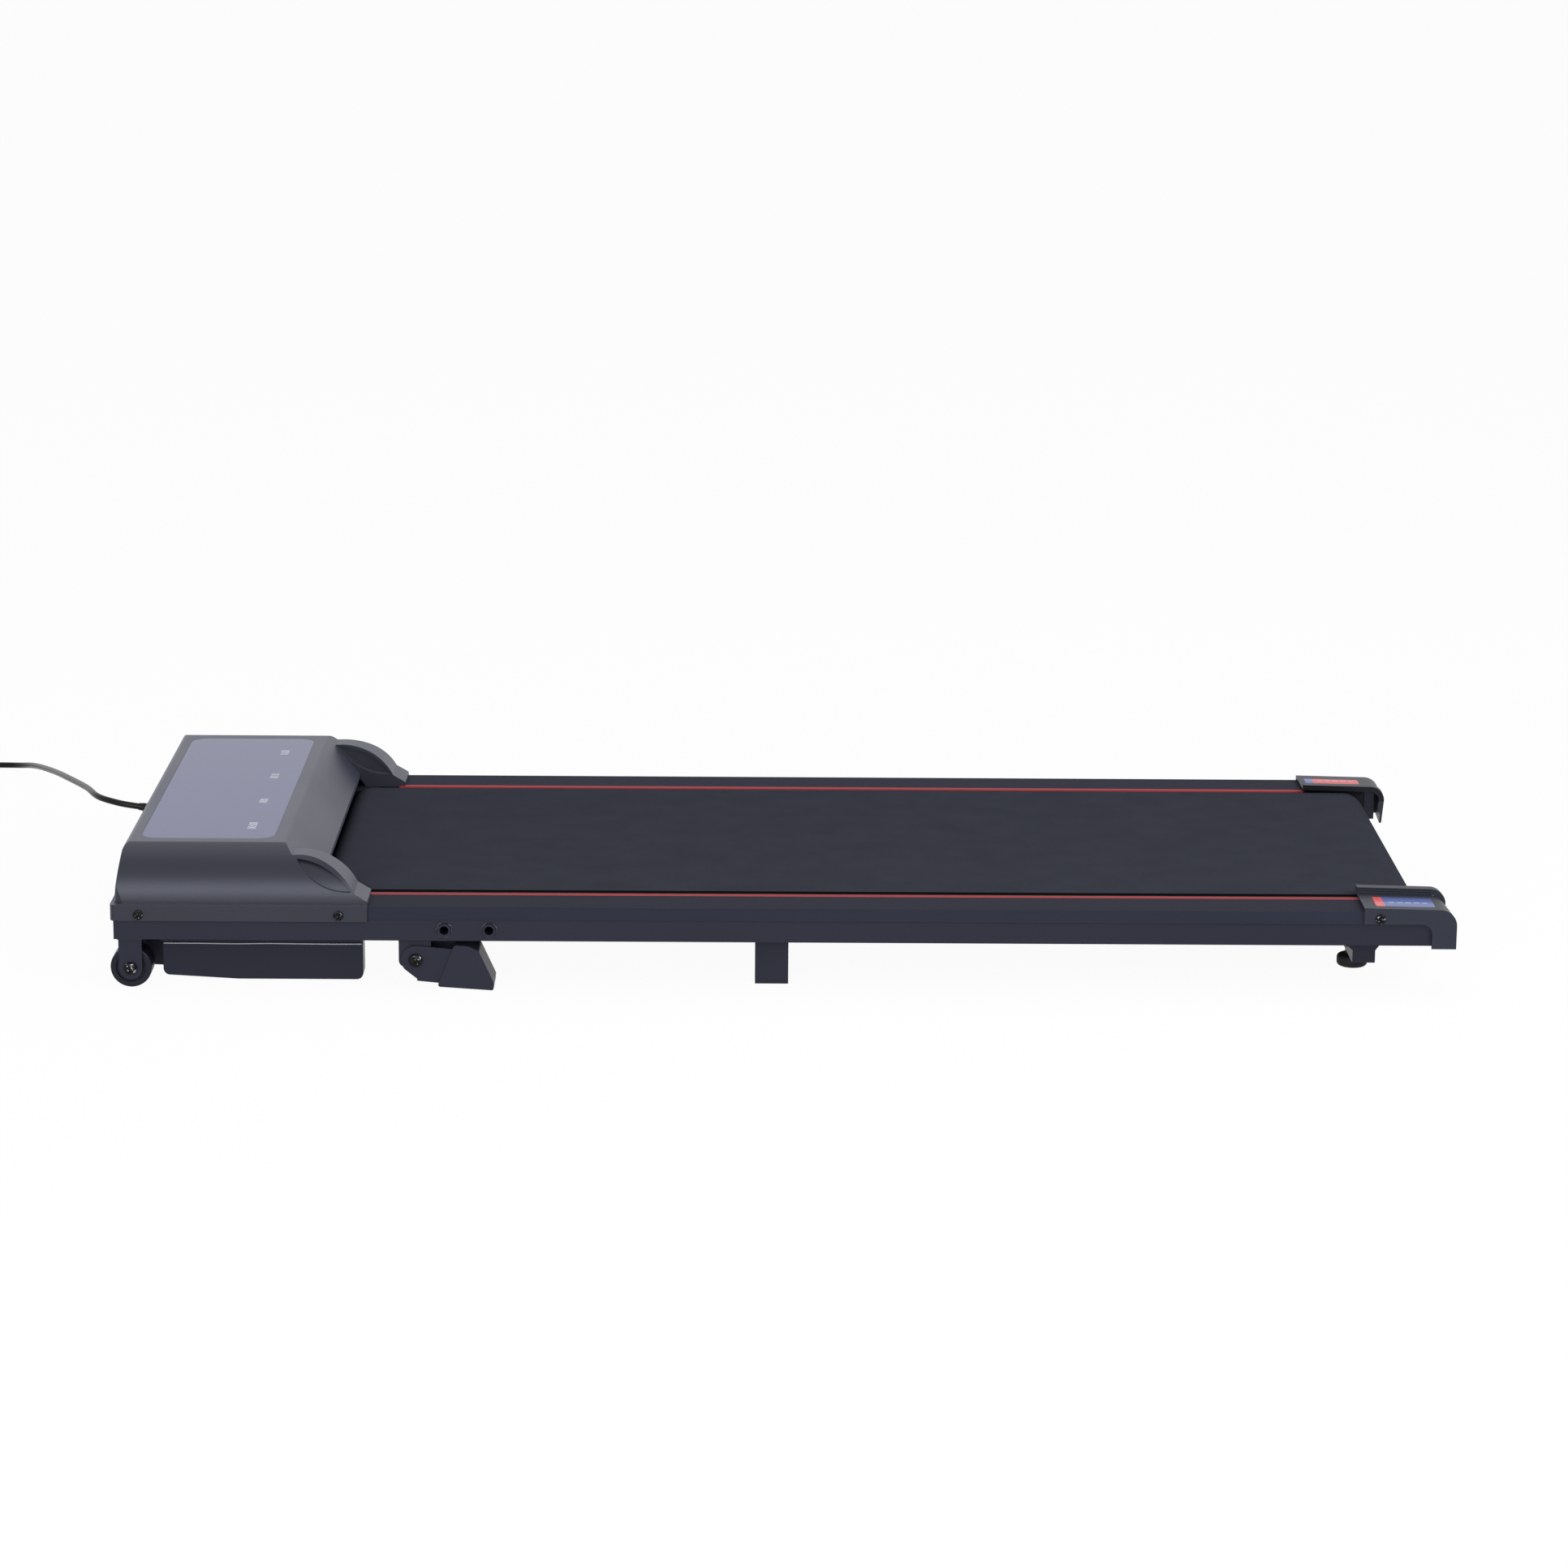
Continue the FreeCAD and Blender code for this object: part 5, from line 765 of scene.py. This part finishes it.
@dataclass
class RunningBelt:
    """Running belt round its two rollers."""

    node: str = "running_belt"
    thickness: float = 1.6 * MM
    facets: int = 96
    crease: float = math.radians(40.0)

    def build(self) -> bpy.types.Object:
        """Model the belt round its two rollers.

        Returns:
            The belt.
        """
        low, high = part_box(self.node)
        radius = (high.z - low.z) / 2
        front, rear = low.x + radius, high.x - radius
        Bench.clear()
        bpy.ops.mesh.primitive_cylinder_add(
            vertices=self.facets, radius=radius, depth=high.y - low.y, end_fill_type="NOTHING",
            location=(front, 0.0, low.z + radius), rotation=(math.pi / 2, math.pi / self.facets, 0.0))
        belt = bpy.context.active_object
        belt.name = "stretched_belt"
        Bench.settle(belt)
        Bench.unpick("VERT")
        for vertex in belt.data.vertices:
            vertex.select = vertex.co.x > front
        bpy.ops.object.mode_set(mode="EDIT")
        bpy.ops.transform.translate(value=(rear - front, 0.0, 0.0))
        bpy.ops.object.mode_set(mode="OBJECT")
        bpy.ops.object.shade_smooth()
        wall = belt.modifiers.new("wall", "SOLIDIFY")
        wall.thickness = self.thickness
        wall.offset = -1.0
        edges = belt.modifiers.new("edges", "EDGE_SPLIT")
        edges.split_angle = self.crease
        belt.modifiers.new("flats", "WEIGHTED_NORMAL")
        Bench.apply_modifiers(belt)
        belt.data.materials.append(BELT_RUBBER.material())
        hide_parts(self.node)
        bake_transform(belt)
        LOG.info("piece %s", belt.name)
        return belt


@dataclass
class MainsLead:
    """Lead from the strain relief down to the floor and into its put-away coil."""

    diameter: float = 6.0 * MM
    length: float = 1.77
    start: Point = (-616.867, 72.0, 88.752)
    route: tuple[Point, ...] = (
        (-630.741, 72.0, 90.631), (-643.5, 76.5, 92.6), (-654.5, 85.5, 93.3), (-662.0, 98.5, 93.0),
        (-668.0, 117.0, 91.5), (-677.0, 153.0, 86.5), (-696.0, 218.0, 76.0), (-718.0, 294.0, 63.0),
        (-740.0, 373.0, 49.0), (-762.0, 448.0, 35.0), (-783.0, 516.0, 22.0), (-800.0, 564.0, 12.0),
        (-813.0, 584.0, 7.0), (-827.0, 594.0, 4.8), (-845.0, 597.2, 4.1), (-865.0, 598.0, 4.1),
        (-884.0, 598.0, 4.1),
    )
    coil_pitch: float = 6.6
    coil_inner: float = 25.0
    turns_in: float = 2.5
    turns_out: float = 2.75
    climb: float = 0.5
    tail_shift: float = 0.6
    turn_points: int = 12
    facets: int = 6
    steps: int = 8

    def middle(self) -> Point:
        """Middle of the coil's lower layer in millimetres."""
        x, y, z = self.route[-1]
        return x - self.diameter / MM, y - self.coil_inner - self.turns_in * self.coil_pitch, z

    def coil_point(self, turn: float) -> Point:
        """Control point of the coil after a number of turns.

        A quadratic spline runs inside its control points, so they lie a little outside the coil.

        Args:
            turn: Turns from the coil's start.

        Returns:
            The point in millimetres.
        """
        x, y, z = self.middle()
        pull = (3 + math.cos(2 * math.pi / self.turn_points)) / 4
        radius = (self.coil_inner + abs(turn - self.turns_in) * self.coil_pitch) / pull
        angle = math.pi / 2 + 2 * math.pi * turn
        rise = min(max((turn - self.turns_in) / self.climb + 0.5, 0.0), 1.0)
        return x + radius * math.cos(angle), y + radius * math.sin(angle), z + rise * self.coil_pitch

    def points(self) -> list[Point]:
        """Control points of the whole lead.

        Returns:
            The points in millimetres.
        """
        count = round((self.turns_in + self.turns_out) * self.turn_points)
        coil = [self.coil_point((step + 0.5) / self.turn_points) for step in range(count)]
        x, y, z = self.middle()
        end_x = x - self.coil_inner - self.turns_out * self.coil_pitch
        high = z + self.coil_pitch
        tail = [(end_x, y, high), (end_x - self.tail_shift, y - self.diameter / MM, high)]
        return [self.start, *self.route, *coil, *tail]

    def build(self, nodes: dict[str, bpy.types.Object]) -> bpy.types.Object:
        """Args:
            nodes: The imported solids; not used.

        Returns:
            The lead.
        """
        lead = Bench.tube("mains_lead", self.points(), self.diameter / 2, self.facets, self.steps)
        Bench.dress(lead, LEAD_SHEATH, Body.FRAME, "cord_rubber")
        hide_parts("power_cord", "cord_coil")
        return lead


@dataclass
class CapLabels:
    """Plain colour films on the sloping tops of the end caps, each with a row of light dashes."""

    cap_front: float = 517.5 * MM
    cap_length: float = 83.1 * MM
    top: float = 82.1 * MM
    fall: float = 1.8 * MM
    left_plan: tuple[float, float, float, float] = (0.5290, 0.5820, 0.2155, 0.2460)
    right_plan: tuple[float, float, float, float] = (0.5235, 0.5770, 0.2220, 0.2400)
    thick: float = 0.2 * MM
    corner: float = 1.5 * MM
    corner_segments: int = 5
    dash_count: int = 5
    dash_lead: int = 2
    dash_share: float = 0.55
    dash_length: float = 5.0 * MM
    dash_width: float = 1.0 * MM

    def film(self, name: str, side: int, plan: Sequence[float], lift: float,
             corner: float) -> bpy.types.Object:
        """One film with rounded corners, lying on a cap's top.

        Args:
            name: Name of the piece.
            side: -1 for the left cap, 1 for the right cap.
            plan: Front, rear, inner and outer edge.
            lift: Height of the film's underside over the cap.
            corner: Radius of the corners.

        Returns:
            The film.
        """
        x0, x1, inner, outer = plan
        x = (x0 + x1) / 2
        z = self.top - self.fall * (x - self.cap_front) / self.cap_length + lift + self.thick / 2
        Bench.clear()
        bpy.ops.mesh.primitive_cube_add(size=1.0, location=(x, side * (inner + outer) / 2, z))
        film = bpy.context.active_object
        film.name = name
        film.scale = (x1 - x0, outer - inner, self.thick)
        bpy.ops.object.transform_apply(location=False, rotation=False, scale=True)
        Bench.unpick("EDGE")
        vertices = film.data.vertices
        for edge in film.data.edges:
            first, second = (vertices[index].co for index in edge.vertices)
            edge.select = abs(first.z - second.z) > self.thick / 2
        bpy.ops.object.mode_set(mode="EDIT")
        bpy.ops.mesh.bevel(offset=corner, segments=self.corner_segments)
        bpy.ops.object.mode_set(mode="OBJECT")
        film.rotation_euler = (0.0, math.atan2(self.fall, self.cap_length), 0.0)
        Bench.settle(film)
        return film

    def dashes(self, name: str, side: int, plan: Sequence[float]) -> bpy.types.Object:
        """Row of light dashes printed along a film.

        Args:
            name: Name of the piece.
            side: -1 for the left cap, 1 for the right cap.
            plan: The film's front, rear, inner and outer edge.

        Returns:
            The dashes as one piece.
        """
        x0, x1, inner, outer = plan
        pitch = (x1 - x0) / (self.dash_count + self.dash_lead)
        y = inner + (outer - inner) * self.dash_share
        row = []
        for index in range(self.dash_count):
            start = x0 + (index + self.dash_lead) * pitch - self.dash_length / 2
            spot = (start, start + self.dash_length, y, y + self.dash_width)
            row.append(self.film(name, side, spot, self.thick / 2, self.dash_width / 3))
        return Bench.join(row, name)

    def build(self) -> None:
        """Lay both films and their dashes."""
        for name, side, plan, finish in (("left", -1, self.left_plan, BLUE_LABEL),
                                         ("right", 1, self.right_plan, RED_LABEL)):
            film = self.film(name + "_cap_label", side, plan, 0.0, self.corner)
            Bench.dress(film, finish, Body.FRAME, "red_line")
            dashes = self.dashes(name + "_label_dashes", side, plan)
            Bench.dress(dashes, MARK_INK, Body.FRAME, "red_line")


@dataclass
class DisplayMarks:
    """Plain numerals printed on the display's window, read by the walker."""

    x: float = -0.4825
    height: float = 11.0 * MM
    relief: float = 0.06 * MM
    marks: tuple[tuple[str, float], ...] = (
        ("00:00", -0.1526), ("000", -0.0580), ("00.0", 0.0410), ("0.00", 0.1395),
    )

    def build(self, top: float) -> bpy.types.Object:
        """Print the numerals.

        Args:
            top: Height of the window's face.

        Returns:
            The printed piece.
        """
        turn = Matrix.Rotation(math.pi / 2, 4, "Z")
        printed = []
        for words, y in self.marks:
            place = Matrix.Translation((self.x, y, top)) @ turn
            printed.append(Bench.print_mark(words, self.height, self.relief, place))
        piece = Bench.join(printed, "display_marks")
        return Bench.dress(piece, MARK_INK, Body.FRAME, "lens_plastic")


@dataclass
class Welds:
    """Weld beads of the frame: rows of overlapping scales, left and right alike."""

    scale_radius: float = 1.9 * MM
    step: float = 0.9 * MM
    flatness: float = 0.55
    segments: int = 12
    rings: int = 8
    boss_wobble: float = 0.05
    boss_waves: float = 7.0
    seam_wobble: float = 0.25 * MM
    seam_waves: float = 2.3
    boss_radius: float = 6.6 * MM
    boss_face: float = 250.9 * MM
    boss_places: tuple[tuple[float, float], ...] = ((-303.2, 56.6), (-263.2, 56.6))
    boss_arcs: tuple[tuple[float, float], ...] = ((-12.0, 46.0), (118.0, 176.0), (236.0, 292.0))
    seam_z: float = 45.8 * MM
    seams: tuple[tuple[float, float, float], ...] = (
        (-594.0, -574.0, 247.3), (-344.0, -316.0, 244.6), (-29.0, 7.0, 222.4), (498.5, 541.0, 224.4),
    )

    def scale(self) -> bpy.types.Object:
        """One flattened weld scale at the origin, to be copied.

        Returns:
            The scale.
        """
        Bench.clear()
        bpy.ops.mesh.primitive_uv_sphere_add(segments=self.segments, ring_count=self.rings,
                                             radius=self.scale_radius)
        scale = bpy.context.active_object
        bpy.ops.object.mode_set(mode="EDIT")
        bpy.ops.transform.resize(value=(1.0, self.flatness, self.flatness))
        bpy.ops.object.mode_set(mode="OBJECT")
        bpy.ops.object.shade_smooth()
        return scale

    def places(self) -> list[tuple[Point, float]]:
        """Middle and turn of every scale on both sides.

        Returns:
            Places in metres with a turn about Y in radians.
        """
        spots = []
        for x, z in self.boss_places:
            for first, last in self.boss_arcs:
                count = round(math.radians(last - first) * self.boss_radius / self.step)
                for index in range(count + 1):
                    turn = math.radians(first + (last - first) * index / count)
                    wobble = self.boss_wobble * math.sin(self.boss_waves * turn + x)
                    reach = self.boss_radius * (1 + wobble)
                    place = (x * MM + reach * math.cos(turn), self.boss_face, z * MM + reach * math.sin(turn))
                    spots.append((place, math.pi / 2 - turn))
        for x0, x1, y in self.seams:
            steps = round((x1 - x0) * MM / self.step)
            for index in range(steps + 1):
                lift = self.seam_wobble * math.sin(self.seam_waves * index + x0)
                spots.append(((x0 * MM + index * self.step, y * MM, self.seam_z + lift), 0.0))
        return spots

    def build(self) -> bpy.types.Object:
        """Lay all the beads.

        Returns:
            The beads as one piece.
        """
        master = self.scale()
        scales = []
        for place, turn in self.places():
            for side in SIDES:
                copy = master.copy()
                copy.data = master.data.copy()
                copy.location = (place[0], side * place[1], place[2])
                copy.rotation_euler = (0.0, turn, 0.0)
                bpy.context.scene.collection.objects.link(copy)
                scales.append(copy)
        bpy.data.objects.remove(master)
        piece = Bench.join(scales, "weld_beads")
        Bench.settle(piece)
        return Bench.dress(piece, WELD_COAT, Body.FRAME, "frame_paint")


@dataclass
class GlandRibs:
    """Bend ribs round the strain relief's tail."""

    start: Point = (-600.5, 72.0, 86.47)
    end: Point = (-612.5, 72.0, 88.10)
    count: int = 5
    start_radius: float = 4.4 * MM
    end_radius: float = 3.6 * MM
    bead: float = 0.7 * MM
    facets: int = 40
    bead_facets: int = 12

    def build(self) -> bpy.types.Object:
        """Slide the ribs onto the tail.

        Returns:
            The ribs as one piece.
        """
        first, last = Vector(self.start) * MM, Vector(self.end) * MM
        turn = (last - first).to_track_quat("Z", "Y").to_euler()
        ribs = []
        for index in range(self.count):
            share = index / (self.count - 1)
            radius = self.start_radius + share * (self.end_radius - self.start_radius)
            Bench.clear()
            bpy.ops.mesh.primitive_torus_add(
                location=first.lerp(last, share), rotation=turn, major_segments=self.facets,
                minor_segments=self.bead_facets, minor_radius=self.bead, major_radius=radius)
            bpy.ops.object.shade_smooth()
            ribs.append(bpy.context.active_object)
        piece = Bench.join(ribs, "gland_ribs")
        Bench.settle(piece)
        return Bench.dress(piece, GLAND_PLASTIC, Body.FRAME, "cord_rubber")


@dataclass
class TrayRim:
    """Glossy rolled rim along the tray's two side ledges, a little uneven as moulded, pale grey as a painted
    highlight line.
    """

    x0: float = -556.5
    x1: float = -379.0
    out: float = 226.7
    z: float = 36.3
    radius: float = 0.6 * MM
    waves: tuple[float, ...] = (0.0, 0.1, -0.1, -0.3, 0.2, 0.1, -0.1, -0.2, 0.0)
    facets: int = 3
    steps: int = 12

    def build(self) -> bpy.types.Object:
        """Lay both rims.

        Returns:
            The rims as one piece.
        """
        pitch = (self.x1 - self.x0) / (len(self.waves) - 1)
        rims = []
        for side in SIDES:
            points = [(self.x0 + index * pitch, side * self.out, self.z + wave)
                      for index, wave in enumerate(self.waves)]
            rim = Bench.tube("tray_rim", points, self.radius, self.facets, self.steps)
            Bench.only(rim)
            bpy.ops.object.convert(target="MESH")
            rims.append(bpy.context.active_object)
        return Bench.dress(Bench.join(rims, "tray_rims"), RIM_PAINTED_HIGHLIGHT, Body.FRAME, "tray_plastic")


@dataclass
class RockerMarks:
    """On and off marks printed on the two halves of the switch's rocker."""

    y: float = 128.0
    ridge: tuple[float, float] = (-598.399, 93.465)
    halves: tuple[tuple[str, float, float], ...] = (("O", -599.337, 86.442), ("I", -599.651, 100.438))
    height: float = 5.0 * MM
    relief: float = 0.05 * MM

    def build(self) -> bpy.types.Object:
        """Print both marks.

        Returns:
            The marks as one piece.
        """
        printed = []
        for word, end_x, end_z in self.halves:
            rise = Vector((self.ridge[0] - end_x, 0.0, self.ridge[1] - end_z)).normalized()
            rise *= math.copysign(1.0, rise.z)
            right = Vector((0.0, -1.0, 0.0))
            middle = Vector(((self.ridge[0] + end_x) / 2, self.y, (self.ridge[1] + end_z) / 2)) * MM
            axes = Matrix((right, rise, right.cross(rise))).transposed().to_4x4()
            place = Matrix.Translation(middle) @ axes
            printed.append(Bench.print_mark(word, self.height, self.relief, place))
        return Bench.dress(Bench.join(printed, "rocker_marks"), MARK_INK, Body.ROCKER, "switch_plastic")


@dataclass(frozen=True)
class Softbox:
    """One soft rectangular lamp: where it hangs, what it points at, its width and height, and its watts."""

    name: str
    place: Point
    aim: Point
    size: tuple[float, float]
    power: float

    def hang(self) -> None:
        """Add the lamp."""
        data = bpy.data.lights.new(self.name, "AREA")
        data.shape = "RECTANGLE"
        data.size, data.size_y = self.size
        data.energy = self.power
        lamp = bpy.data.objects.new(self.name, data)
        bpy.context.scene.collection.objects.link(lamp)
        lamp.location = self.place
        lamp.rotation_euler = (Vector(self.aim) - Vector(self.place)).to_track_quat("-Z", "Y").to_euler()


@dataclass
class Studio:
    """Pale floor, soft lamps and the camera."""

    frame_pixels: float = 1932.0
    focal_pixels: float = 5460.85
    sensor: float = 36.0
    eye: Point = (-0.0407, -4.0651, 1.1113)
    yaw: float = math.radians(0.594)
    pitch: float = math.radians(13.548)
    roll: float = math.radians(0.455)
    view_reach: float = 200.0
    floor_size: float = 90.0
    floor_colour: Colour = (0.86, 0.86, 0.86)
    floor_roughness: float = 0.9
    floor_seen: float = 0.95
    sky_colour: Colour = (0.96, 0.97, 1.0)
    sky_level: float = 0.5
    lamps: tuple[Softbox, ...] = (
        Softbox("key_softbox", (-0.9, -3.6, 1.05), (-0.1, 0.0, 0.07), (3.0, 1.4), 90.0),
        Softbox("fill_softbox", (1.8, -2.6, 2.2), (0.3, 0.0, 0.08), (1.8, 1.0), 35.0),
        Softbox("overhead_softbox", (0.0, 0.4, 2.6), (0.0, 0.0, 0.05), (3.0, 1.8), 12.0),
        Softbox("rear_softbox", (2.4, -1.4, 1.5), (-0.35, 0.0, 0.09), (1.4, 1.0), 22.0),
    )

    def camera(self) -> bpy.types.Object:
        """Camera at the photograph's angle.

        Returns:
            The camera.
        """
        level = Vector((math.sin(self.yaw), math.cos(self.yaw), 0.0))
        forward = level * math.cos(self.pitch) - Vector((0.0, 0.0, math.sin(self.pitch)))
        right = Vector((math.cos(self.yaw), -math.sin(self.yaw), 0.0))
        up = right.cross(forward)
        turned_right = right * math.cos(self.roll) + up * math.sin(self.roll)
        turned_up = up * math.cos(self.roll) - right * math.sin(self.roll)
        data = bpy.data.cameras.new("photo_camera")
        data.sensor_width = self.sensor
        data.sensor_height = self.sensor
        data.lens = self.focal_pixels / self.frame_pixels * self.sensor
        data.clip_end = self.view_reach
        camera = bpy.data.objects.new("photo_camera", data)
        bpy.context.scene.collection.objects.link(camera)
        axes = Matrix((turned_right, turned_up, -forward)).transposed().to_4x4()
        camera.matrix_world = Matrix.Translation(self.eye) @ axes
        bpy.context.scene.camera = camera
        return camera

    def seen_share(self, tree: bpy.types.NodeTree, share: float) -> bpy.types.NodeSocket:
        """Share that is 0 for light on the object and set for what is seen, mirrored or seen through.

        Args:
            tree: Tree that gets the nodes.
            share: Value for a ray that is seen.

        Returns:
            Socket of the share.
        """
        path = tree.nodes.new("ShaderNodeLightPath")
        seen = path.outputs["Is Camera Ray"]
        for kind in ("Is Glossy Ray", "Is Transmission Ray"):
            seen = _maths(tree, "MAXIMUM", seen, path.outputs[kind])
        return _maths(tree, "MULTIPLY", seen, share)

    def floor(self) -> None:
        """Lay the pale floor, which shows white and keeps a soft shadow."""
        Bench.clear()
        bpy.ops.mesh.primitive_plane_add(size=self.floor_size)
        floor = bpy.context.active_object
        floor.name = "studio_floor"
        sheet = Sheet("studio_floor")
        sheet.shader.inputs["Base Color"].default_value = (*self.floor_colour, 1.0)
        sheet.shader.inputs["Roughness"].default_value = self.floor_roughness
        sheet.shader.inputs["Specular IOR Level"].default_value = 0.0
        glow = sheet.add("Emission", Color=(*WHITE, 1.0), Strength=1.0)
        mix = sheet.add("MixShader")
        out = sheet.tree.nodes["Material Output"]
        sheet.join(self.seen_share(sheet.tree, self.floor_seen), mix.inputs["Fac"])
        sheet.join(sheet.shader.outputs["BSDF"], mix.inputs[1])
        sheet.join(glow.outputs["Emission"], mix.inputs[2])
        sheet.join(mix.outputs["Shader"], out.inputs["Surface"])
        floor.data.materials.append(sheet.material)

    def sky(self) -> None:
        """Soft white surround: plain light on the object, white where it is seen."""
        world = bpy.data.worlds.new("studio")
        bpy.context.scene.world = world
        world.use_nodes = True
        tree = world.node_tree
        ambient = tree.nodes["Background"]
        ambient.inputs["Color"].default_value = (*self.sky_colour, 1.0)
        ambient.inputs["Strength"].default_value = self.sky_level
        seen = tree.nodes.new("ShaderNodeBackground")
        seen.inputs["Color"].default_value = (*WHITE, 1.0)
        seen.inputs["Strength"].default_value = 1.0
        mix = tree.nodes.new("ShaderNodeMixShader")
        tree.links.new(self.seen_share(tree, 1.0), mix.inputs["Fac"])
        tree.links.new(ambient.outputs["Background"], mix.inputs[1])
        tree.links.new(seen.outputs["Background"], mix.inputs[2])
        tree.links.new(mix.outputs["Shader"], tree.nodes["World Output"].inputs["Surface"])

    def build(self) -> None:
        """Set up the whole studio."""
        bpy.context.scene.view_settings.view_transform = "Standard"
        self.camera()
        self.floor()
        self.sky()
        for lamp in self.lamps:
            lamp.hang()


def main() -> None:
    """Dress the walking pad and set up the studio."""
    logging.basicConfig(level=logging.INFO, format="%(name)s: %(message)s")
    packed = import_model()
    frame = Frame(packed["nodes"], packed["record"])
    frame.dress()
    Studio().build()
    RunningBelt().build()
    MainsLead().build(frame.nodes)
    CapLabels().build()
    DisplayMarks().build(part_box("display_lens")[1][2])
    Welds().build()
    GlandRibs().build()
    TrayRim().build()
    RockerMarks().build()


if __name__ == "__main__":
    main()
